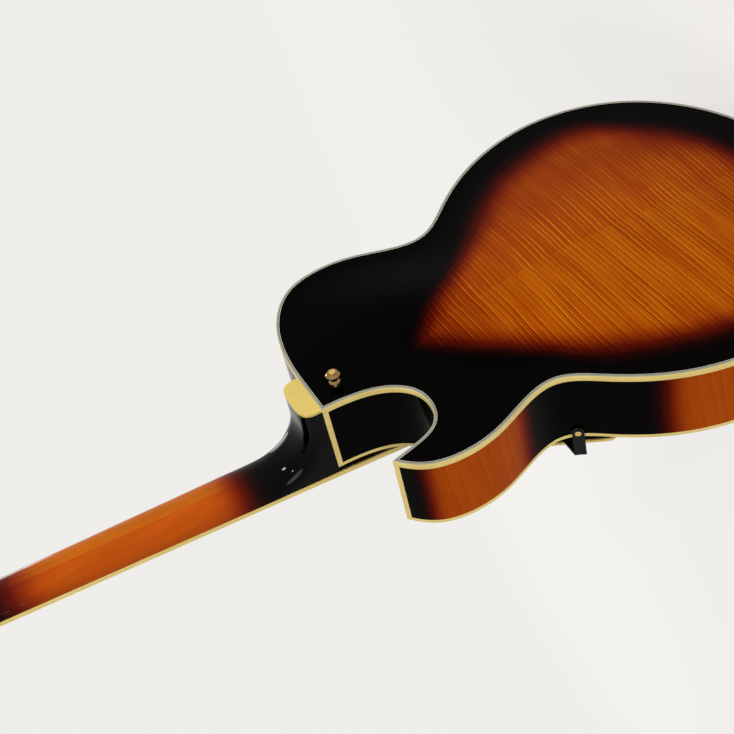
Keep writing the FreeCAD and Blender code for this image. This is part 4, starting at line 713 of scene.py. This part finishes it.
allRim = np.arange(len(rim))
bindings = dict(back=("back_binding", 0.0, plan["backBind"], (0, 1, 2)),
                top=("top_binding", plan["depth"] - plan["topBind"], plan["depth"], ()))
for face, (node, low, high, paintedShadeFaces) in bindings.items():  # the face beside the back plate takes a darker grey copy of the cream binding: painted shade
    profile = roundedEdge(plan["bindWidth"], low, high, plan["bindSoft"])
    mesh, shape = band(f"{face}Binding", allRim, profile, True)
    setFinish(mesh, np.tile(np.isin(np.arange(shape[1]), paintedShadeFaces), shape[0]))
    piece = newObject(mesh, "guitar", "cream_trim", creamBinding, paintedShadeBinding, sharp=35)
    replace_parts(piece, node)
purfling = dict(start=2.05, lines=((0.55, blackLine), (0.5, whiteLine)), proud=0.05, depth=0.4)
for face, base, sign in (("back", 0.0, -1), ("top", plan["depth"], 1)):
    inset = purfling["start"]
    for count, (width, material) in enumerate(purfling["lines"]):
        low, high = base - sign * purfling["depth"], base + sign * purfling["proud"]
        profile = [(inset, low), (inset, high), (inset + width, high), (inset + width, low)]
        mesh = band(f"{face}Purfling{count}", allRim, profile, True)[0]
        newObject(mesh, "guitar", "cream_trim", material)
        inset += width
print("ribs and bindings made")


# Finishes of the frame's own nodes
def dress(material, *names):
    for name in names:
        finishes = nodes[name].data.materials
        finishes.clear()
        finishes.append(material)


dress(creamBinding, "corner_bindings", "fingerboard_binding")
dress(heelCream, "heel_cap")
dress(paleWood, "body_blocks", "kerfed_linings", "tone_bars")
dress(ebony, "fingerboard", "bridge_base", "bridge_saddle")
dress(pearl, "position_markers")
dress(boneNut, "nut")
dress(brightSteel, "truss_rod", "bridge_posts", "potentiometers", "switch_body")
dress(blackGloss, "headstock_veneer", "truss_rod_cover", "pickup_rings", "pickup_coils")
dress(bracketBlack, "pickguard_bracket")
# The strap buttons take the gold darkened as painted shade
dress(paintedShadeGold, "strap_buttons")
dress(goldPlate, "tuner_housings", "tuner_bushings", "pickup_covers", "tailpiece_frame", "tailpiece_bracket",
      "output_jack", "fasteners", *[f"tuner_key_{number}" for number in range(1, 7)])


# Neck: where the dark heel and head begin and end, and where the lighter bass half gives way to the darker
# treble half, in metres
neckFinish = dict(heel=(-0.211, -0.290), head=(-0.095, 0.016), halfLine=0.002,
                  bass=[(0.3, (0.365, 0.076, 0.001)), (0.7, (0.505, 0.123, 0.002))],
                  treble=[(0.3, (0.315, 0.046, 0.001)), (0.7, (0.485, 0.086, 0.002))])


def neckMaple(name):
    # Straight maple, its bass half a little lighter than its treble half, amber between a dark heel and a dark
    # head
    material, tree, shader = newMaterial(name, roughness=0.05, specular=0.07)
    place = axes(tree)
    streak = noise(tree, places(tree, (190, 190, 7)), 1.0, 3.0, 0.55, 41.0)
    slow = noise(tree, places(tree, (30, 30, 6)), 1.0, 2.0, 0.5, 43.0)
    tone = blendValues(tree, slow, 0.6, streak)
    bassWood, trebleWood = (ramp(tree, tone, neckFinish[side]) for side in ("bass", "treble"))
    halfLine = math1(tree, "GREATER_THAN", place["X"], neckFinish["halfLine"])
    ends = [softRange(tree, place["Z"], *neckFinish[end]) for end in ("heel", "head")]
    tint(tree, shader, blendColors(tree, halfLine, bassWood, trebleWood), math1(tree, "MAXIMUM", *ends))
    return material


dress(neckMaple("neckMaple"), "neck")
leverTip = 0.0141  # length of the lever's cream tip


def leverFinish(name, tipFrom):
    # Steel stem, cream plastic from the given height on
    material, tree, shader = newMaterial(name, roughness=0.25)
    tip = math1(tree, "LESS_THAN", axes(tree)["Y"], tipFrom)
    mottle = noise(tree, places(tree), 300.0, 2.0)
    cream = ramp(tree, mottle, [(0.3, (0.60, 0.45, 0.18)), (0.7, (0.74, 0.60, 0.30))])
    paint(tree, shader, blendColors(tree, tip, (0.6, 0.6, 0.58), cream))
    tree.links.new(math1(tree, "SUBTRACT", 1.0, tip), shader.inputs["Metallic"])
    return material


dress(leverFinish("leverFinish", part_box("switch_lever")[0].y + leverTip), "switch_lever")
print("frame nodes dressed")


# Neck and head places in millimetres: z falls from the nut to the body, y falls towards the strings
neckSpec = dict(lean=math.radians(5.3), headLean=math.radians(14.0), glueY=-4.5, nut=5.0, scale=628.65,
                frets=22, past=5.0, width=(43.0, 57.0), board=6.0, radius=305.0)


def leaned(points, angle):
    x, y, z = np.moveaxis(np.asarray(points, float), -1, 0)
    c, s = math.cos(angle), math.sin(angle)
    return np.stack([x, y * c + z * s, z * c - y * s], axis=-1)


def onNeck(points):
    return (leaned(points, neckSpec["lean"]) + [0, neckSpec["glueY"], 0]) * mm


def onHead(points):
    return onNeck(leaned(points, neckSpec["headLean"]) + [0, 0, neckSpec["nut"]])


def fretAt(number):
    return neckSpec["scale"] * (1 - 2.0 ** (-np.asarray(number) / 12))


boardLength = fretAt(neckSpec["frets"]) + neckSpec["past"]


def boardWidth(along):
    return np.interp(along, (0, boardLength), neckSpec["width"])


# Frets
fretSpec = dict(width=2.3, height=1.1, inset=0.3, bevel=2.2, endRise=0.2, across=33, over=9)


def fretRows(number):
    # Half an ellipse carried across the crowned board, its height falling away at either end
    along = float(fretAt(number))
    half = boardWidth(along) / 2 - fretSpec["inset"]
    x = half * np.sin(np.linspace(-math.pi / 2, math.pi / 2, fretSpec["across"]))
    share = (half - np.abs(x)) / fretSpec["bevel"] + fretSpec["endRise"]
    height = fretSpec["height"] * smoothStep(0.0, 1.0, share)
    crown = -neckSpec["board"] + neckSpec["radius"] - np.sqrt(neckSpec["radius"] ** 2 - x ** 2)
    turn = np.linspace(0, math.pi, fretSpec["over"])
    y = crown[:, None] - height[:, None] * np.sin(turn)
    z = np.broadcast_to(-along + fretSpec["width"] / 2 * np.cos(turn), y.shape)
    return onNeck(np.stack([np.broadcast_to(x[:, None], y.shape), y, z], axis=-1))


fretMesh = closedMesh("fretWires", np.stack([fretRows(n) for n in range(1, neckSpec["frets"] + 1)]))
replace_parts(newObject(fretMesh, "guitar", "steel", brightSteel, sharp=60), "frets")


# Turned pieces
def turned(profile, sides, ribs=0):
    # Rows of (radius, height) turned once round an axis; a row's third value is how deep its grooves go
    radius, height, ripple = np.array([(*row, 0)[:3] for row in profile], float).T[:, :, None]
    angle = fullTurn(sides)[None]
    out = radius - ripple * (0.5 - 0.5 * np.cos(ribs * angle))
    return out * np.cos(angle), out * np.sin(angle), height + 0 * angle


def turnedOn(node, spec):  # turned round the middle of a node's box, rising towards the strings
    low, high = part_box(node)
    u, v, up = (column * mm for column in turned(spec["profile"], spec["sides"], spec["ribs"]))
    return np.stack([(low.x + high.x) / 2 + u, high.y - up, (low.z + high.z) / 2 + v], axis=-1)


sideDots = dict(frets=(3, 5, 7, 9, 12, 12, 15, 17, 19, 21), shift=(0, 0, 0, 0, -4, 4, 0, 0, 0, 0), sides=20,
                profile=((0.01, -0.6), (1.0, -0.6), (1.0, 0.02), (0.8, 0.06), (0.01, 0.08)))
for number, (fret, shift) in enumerate(zip(sideDots["frets"], sideDots["shift"]), 1):
    along = float(fretAt(fret) + fretAt(fret - 1)) / 2 + shift
    u, v, out = turned(sideDots["profile"], sideDots["sides"])
    rows = onNeck(np.stack([-boardWidth(along) / 2 - out, -neckSpec["board"] / 2 + u, v - along], axis=-1))
    newObject(closedMesh(f"sideDot{number}", rows), "guitar", "black_plastic", blackGloss)

# The pointer covers a few columns of the skirt and the side, the plated cap the profile's last rows
knobSpec = dict(names=("neck_volume", "neck_tone", "bridge_volume", "bridge_tone"), ribs=32, sides=192,
                pointer=(47, 48, 49), pointerRows=range(4, 12), capRow=15,
                profile=((5.0, 1.4), (5.0, 0.0), (11.6, 0.0), (12.0, 0.4), (12.0, 2.0), (11.6, 2.6),
                         (9.9, 5.3), (9.6, 5.9, 0.5), (9.3, 9.0, 0.5), (9.0, 11.6, 0.5), (8.8, 12.2),
                         (8.2, 12.9), (7.6, 13.0), (7.0, 12.8), (6.8, 12.6), (6.7, 12.8), (6.0, 12.95),
                         (0.01, 13.0)))
for name in knobSpec["names"]:
    rows = turnedOn(f"knob_{name}", knobSpec)
    mesh = closedMesh(f"knob{name.title().replace('_', '')}", rows)
    row, column = np.divmod(np.arange((len(rows) - 1) * knobSpec["sides"]), knobSpec["sides"])
    marked = np.isin(column, knobSpec["pointer"]) & np.isin(row, knobSpec["pointerRows"])
    setFinish(mesh, np.append(np.where(row >= knobSpec["capRow"], 1, np.where(marked, 2, 0)), (0, 1)))
    piece = newObject(mesh, f"knob_{name}", "black_plastic", blackGloss, goldPlate, creamBinding)
    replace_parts(piece, f"knob_{name}")

wheelSpec = dict(ribs=54, sides=216,
                 profile=((2.1, 0.0), (8.6, 0.0), (9.1, 0.15), (9.5, 0.5, 0.45), (9.5, 2.1, 0.45),
                          (9.1, 2.45), (8.6, 2.6), (2.1, 2.6)))
for side in ("bass", "treble"):
    rows = turnedOn(f"bridge_wheel_{side}", wheelSpec)
    mesh = faceOut(gridMesh(f"bridgeWheel{side.title()}", rows, closeU=True, closeV=True))
    piece = newObject(mesh, f"bridge_wheel_{side}", "gold_metal", goldPlate)
    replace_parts(piece, f"bridge_wheel_{side}")
print("frets, side dots, knobs and wheels made")


# Strings and their posts
stringSpec = dict(radii=(0.60, 0.46, 0.33, 0.23, 0.17, 0.13), wound=4, nutStep=7.1, nutTop=7.7,
                  bridgeStep=10.4, tailAt=428.0, tailRise=9.5, boardRise=91.8, actions=(1.7, 3.5),
                  points=(8, 48, 16))
postSpec = dict(first=42.0, step=42.0, inset=13.5, root=(31.0, 130.0), widths=(66.0, 82.0), radius=3.0,
                gap=0.05, clear=0.1, runY=-7.0, turns=3, turnPoints=36, between=0.45, teeth=14, sides=84,
                profile=((0.01, 22.3), (3.0, 22.3), (3.0, 20.5), (4.8, 20.5, 0.5), (4.8, 16.5, 0.5), (3.0, 16.5),
                         (3.0, -14.0), (2.8, -14.6), (2.3, -15.0), (1.3, -15.0), (1.1, -14.7), (0.01, -14.6)))


def stringRise(down):  # a straight line over the twelfth fret, set by the height at the nut and there
    slope = math.tan(neckSpec["lean"])
    nutAt, twelfth = -edgeZ, float(fretAt(12)) * math.cos(neckSpec["lean"]) - edgeZ
    first, second = (stringSpec["boardRise"] + at * slope + up
                     for at, up in zip((nutAt, twelfth), stringSpec["actions"]))
    return first + (second - first) * (down - nutAt) / (twelfth - nutAt)


def tubeMesh(name, path, radius, reference, sides=10):
    # Circles square to the path; the reference axis crossed with the path's run gives their first direction
    run = unit(np.gradient(path, axis=0))
    first = unit(np.cross(reference, run))
    second = np.cross(run, first)
    turn = fullTurn(sides)[None, :, None]
    rows = path[:, None] + radius * (first[:, None] * np.cos(turn) + second[:, None] * np.sin(turn))
    mesh = closedMesh(name, rows)
    setMap(mesh, np.stack([np.repeat(runLength(path), sides), np.tile(turn.ravel(), len(path))], axis=1))
    return mesh


def stringMetal(name, color, pitch, strength):
    # Bright wire; fine wraps square to its length where it is wound, as a bump and as colour darker in each
    # groove, which is painted shade
    material, tree, shader = newMaterial(name, roughness=0.26, metallic=1.0)
    wrap = math1(tree, "SINE", times(tree, axes(tree, "UV")["X"], 2 * math.pi / pitch))
    tone = timesPlus(tree, wrap, 0.2 * strength, noise(tree, places(tree), 90.0, 3.0))
    paint(tree, shader, ramp(tree, tone, [(0.3, shaded(color, 0.6)), (0.6, color)]))
    addBump(tree, shader, wrap, 0.5 * strength, 0.0001)
    return material


woundWire = stringMetal("woundWire", (0.62, 0.58, 0.50), 0.0006, 1.0)
plainWire = stringMetal("plainWire", (0.74, 0.74, 0.72), 0.02, 0.15)
bridgeAt = neckSpec["scale"] * math.cos(neckSpec["lean"]) - edgeZ
headAxis = onHead((0, 1, 0)) - onHead((0, 0, 0))
tailTop = plan["depth"] + float(arch(stringSpec["tailAt"], 0.0))
headPoints, boardPoints, tailPoints = stringSpec["points"]
for number, radius in enumerate(stringSpec["radii"]):
    label, x = number + 1, number - 2.5  # x counts string steps from the middle
    side, step = (-1, number) if number < 3 else (1, 5 - number)
    wire = woundWire if number < stringSpec["wound"] else plainWire
    z = postSpec["first"] + postSpec["step"] * step
    half = np.interp((z - postSpec["root"][0]) / postSpec["root"][1], (0, 1), postSpec["widths"]) / 2
    postX = side * (half - postSpec["inset"])
    reach = postSpec["radius"] + postSpec["gap"] + radius
    nut = onNeck((stringSpec["nutStep"] * x, -stringSpec["nutTop"] - radius, neckSpec["nut"] / 2))
    saddle = spot(bridgeAt, stringSpec["bridgeStep"] * x, stringRise(bridgeAt) + radius)
    tail = spot(stringSpec["tailAt"], stringSpec["bridgeStep"] * x, tailTop + stringSpec["tailRise"])
    post = onHead((postX - side * reach, postSpec["runY"], z))
    short = math.sqrt((reach + 2 * radius + postSpec["clear"]) ** 2 - reach ** 2) * mm  # stops at the turns
    stop = post + unit(nut - post) * short
    path = np.vstack([np.linspace(stop, nut, headPoints)[:-1], np.linspace(nut, saddle, boardPoints)])
    mesh = tubeMesh(f"string{label}", path, radius * mm, (1, 0, 0))
    speaking = newObject(mesh, None, "steel", wire)
    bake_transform(speaking)
    mesh = tubeMesh(f"stringEnd{label}", np.linspace(saddle, tail, tailPoints), radius * mm, (1, 0, 0))
    after = newObject(mesh, None, "steel", wire)
    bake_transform(after)
    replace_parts(speaking, "strings")
    u, v, y = turned(postSpec["profile"], postSpec["sides"], postSpec["teeth"])
    mesh = closedMesh(f"stringPost{label}", onHead(np.stack([postX + u, y, z + v], axis=-1)))
    shaft = newObject(mesh, f"string_post_{label}", "gold_metal", goldPlate)
    t = np.linspace(0, 2 * math.pi * postSpec["turns"], postSpec["turnPoints"] * postSpec["turns"] + 1)
    climb = 2 * radius + postSpec["between"]
    helix = onHead(np.stack([postX - side * reach * np.cos(t), postSpec["runY"] - climb * t / (2 * math.pi),
                             z + reach * np.sin(t)], axis=-1))
    mesh = tubeMesh(f"stringTurns{label}", helix, radius * mm, headAxis)
    turns = newObject(mesh, f"string_post_{label}", "steel", wire)
    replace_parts(shaft, f"string_post_{label}")
    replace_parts(turns, f"string_post_{label}")
print("strings, posts and turns made")


# Pickguard
guardSpec = dict(rise=97.0, start=113.0, corner=6.0,
                 outline=((113, 48), (272, 48), (272, 72), (246, 123), (236, 129), (113, 68)),
                 rings=((3.0, 3.0), (2.4, 3.0), (1.9, 3.0), (0.5, 3.0), (0.15, 2.85), (0.0, 2.5), (0.0, 0.5),
                        (0.15, 0.15), (0.5, 0.0), (1.9, 0.0)),
                 finish=(1, 0, 1, 1, 1, 1, 1, 1, 1))


def roundedPolygon(corners, radius, sides=8, most=0.45):
    # Each corner cut back, at most by this share of its shorter edge, and bridged by a curve
    corners = np.array(corners, float)
    before, after = (np.roll(corners, way, 0) - corners for way in (1, -1))
    shorter = np.minimum(np.linalg.norm(before, axis=1), np.linalg.norm(after, axis=1))
    cut = np.minimum(radius, most * shorter)[:, None]
    first, last = corners + unit(before) * cut, corners + unit(after) * cut
    s = np.linspace(0, 1, sides)[None, :, None]
    curve = (1 - s) ** 2 * first[:, None] + 2 * s * (1 - s) * corners[:, None] + s ** 2 * last[:, None]
    return curve.reshape(-1, 2)


guardRim = roundedPolygon(guardSpec["outline"], guardSpec["corner"])
guardRows = []
for inset, up in guardSpec["rings"]:  # from the middle of the face, over the bound edge, to the underside
    down, across = insetRim(guardRim, inset).T
    local = np.stack([across, np.full(len(across), -up), guardSpec["start"] - down], axis=-1)
    guardRows.append(leaned(local, neckSpec["lean"]) * mm + spot(guardSpec["start"], 0, guardSpec["rise"]))
guardMesh = closedMesh("pickguardPlate", np.stack(guardRows))
setFinish(guardMesh, np.repeat(guardSpec["finish"], len(guardRim)))
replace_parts(newObject(guardMesh, "guitar", "black_plastic", blackGloss, creamBinding), "pickguard")
print("pickguard made")


# Camera, light and floor
camera = dict(place=(0.9279, 1.0181, -0.1089), right=(0.46486, -0.17798, -0.86731),
              up=(-0.57418, 0.68507, -0.44833), back=(0.67396, 0.70640, 0.21626), lens=73.55, sensor=36.0,
              far=100)
eye = bpy.data.cameras.new("photoCamera")
eye.lens = camera["lens"]
eye.sensor_width = camera["sensor"]
eye.clip_end = camera["far"]
scene.camera = linked("photoCamera", eye)
turn = Matrix([camera["right"], camera["up"], camera["back"]]).transposed()
scene.camera.matrix_world = Matrix.Translation(camera["place"]) @ turn.to_4x4()

bodyMiddle = (0.0, 0.01, -0.6)  # lamps as (place, target, size, power)
lamps = dict(keyBack=((-0.6, 2.4, 0.9), bodyMiddle, 0.45, 42),
             fillTreble=((2.3, 0.7, 0.5), bodyMiddle, 1.2, 26),
             fillFront=((-1.2, -2.8, -0.1), bodyMiddle, 0.9, 46),
             fillBass=((-2.4, -0.4, 0.4), bodyMiddle, 1.2, 18),
             heelSpark=((0.7, 1.5, 1.0), (0.0, 0.0, -0.3), 0.13, 8))
for name, (place, target, size, power) in lamps.items():
    lamp = bpy.data.lights.new(name, "AREA")
    lamp.shape = "DISK"
    lamp.size = size
    lamp.energy = power
    made = linked(name, lamp)
    made.location = place
    made.rotation_euler = (Vector(target) - Vector(place)).to_track_quat("-Z", "Y").to_euler()

floorSpec = dict(color=(0.80, 0.79, 0.77), drop=0.06, half=60.0, glow=0.86, share=0.55, fade=(0.4, 2.4),
                 fill=0.4)
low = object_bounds()[0]
floorAt = low[2] - floorSpec["drop"]
floorGlow = floorSpec["glow"] / floorSpec["color"][0]
sides = np.array((-1, 1)) * floorSpec["half"]
floorMesh = gridMesh("floor", np.array([[(x, y, floorAt) for x in sides] for y in sides]))
floor = linked("floor", floorMesh)


def rayShown(tree):  # 1 on rays that show the backdrop: from the camera, in reflections and through glass
    path = addNode(tree, "LightPath")
    shown = math1(tree, "MAXIMUM", path.outputs["Is Camera Ray"], path.outputs["Is Glossy Ray"])
    return math1(tree, "MAXIMUM", shown, path.outputs["Is Transmission Ray"])


def paleFloor(name):
    # Plain paint that keeps the shadow near the object, fading into the backdrop's even glow further out
    material, tree, shader = newMaterial(name, floorSpec["color"], 0.9, 0.0, 0.1)
    glow = addNode(tree, "Emission", {0: floorSpec["color"], 1: floorGlow})
    spread = addNode(tree, "VectorMath", {0: places(tree), 1: (0.0, 0.0, floorAt)}, operation="DISTANCE")
    far = softRange(tree, spread.outputs["Value"], *floorSpec["fade"], floorSpec["share"])
    share = times(tree, rayShown(tree), far)
    mixed = addNode(tree, "MixShader", {0: share, 1: shader.outputs[0], 2: glow.outputs[0]})
    tree.links.new(mixed.outputs[0], tree.nodes["Material Output"].inputs[0])
    return material


floorMesh.materials.append(paleFloor("paleFloor"))


def paleWorld(color, seen, light):
    # The backdrop's colour where it shows, a softer light of the same hue elsewhere
    world = scene.world = bpy.data.worlds.new("paleWorld")
    world.use_nodes = True
    tree = world.node_tree
    strength = addNode(tree, "MapRange", {0: rayShown(tree), 3: light, 4: seen}).outputs[0]
    background = tree.nodes["Background"]
    background.inputs["Color"].default_value = (*color, 1)
    tree.links.new(strength, background.inputs["Strength"])


paleWorld(floorSpec["color"], floorGlow, floorSpec["fill"])
scene.view_settings.view_transform = "Standard"
print("camera, lamps and floor set")
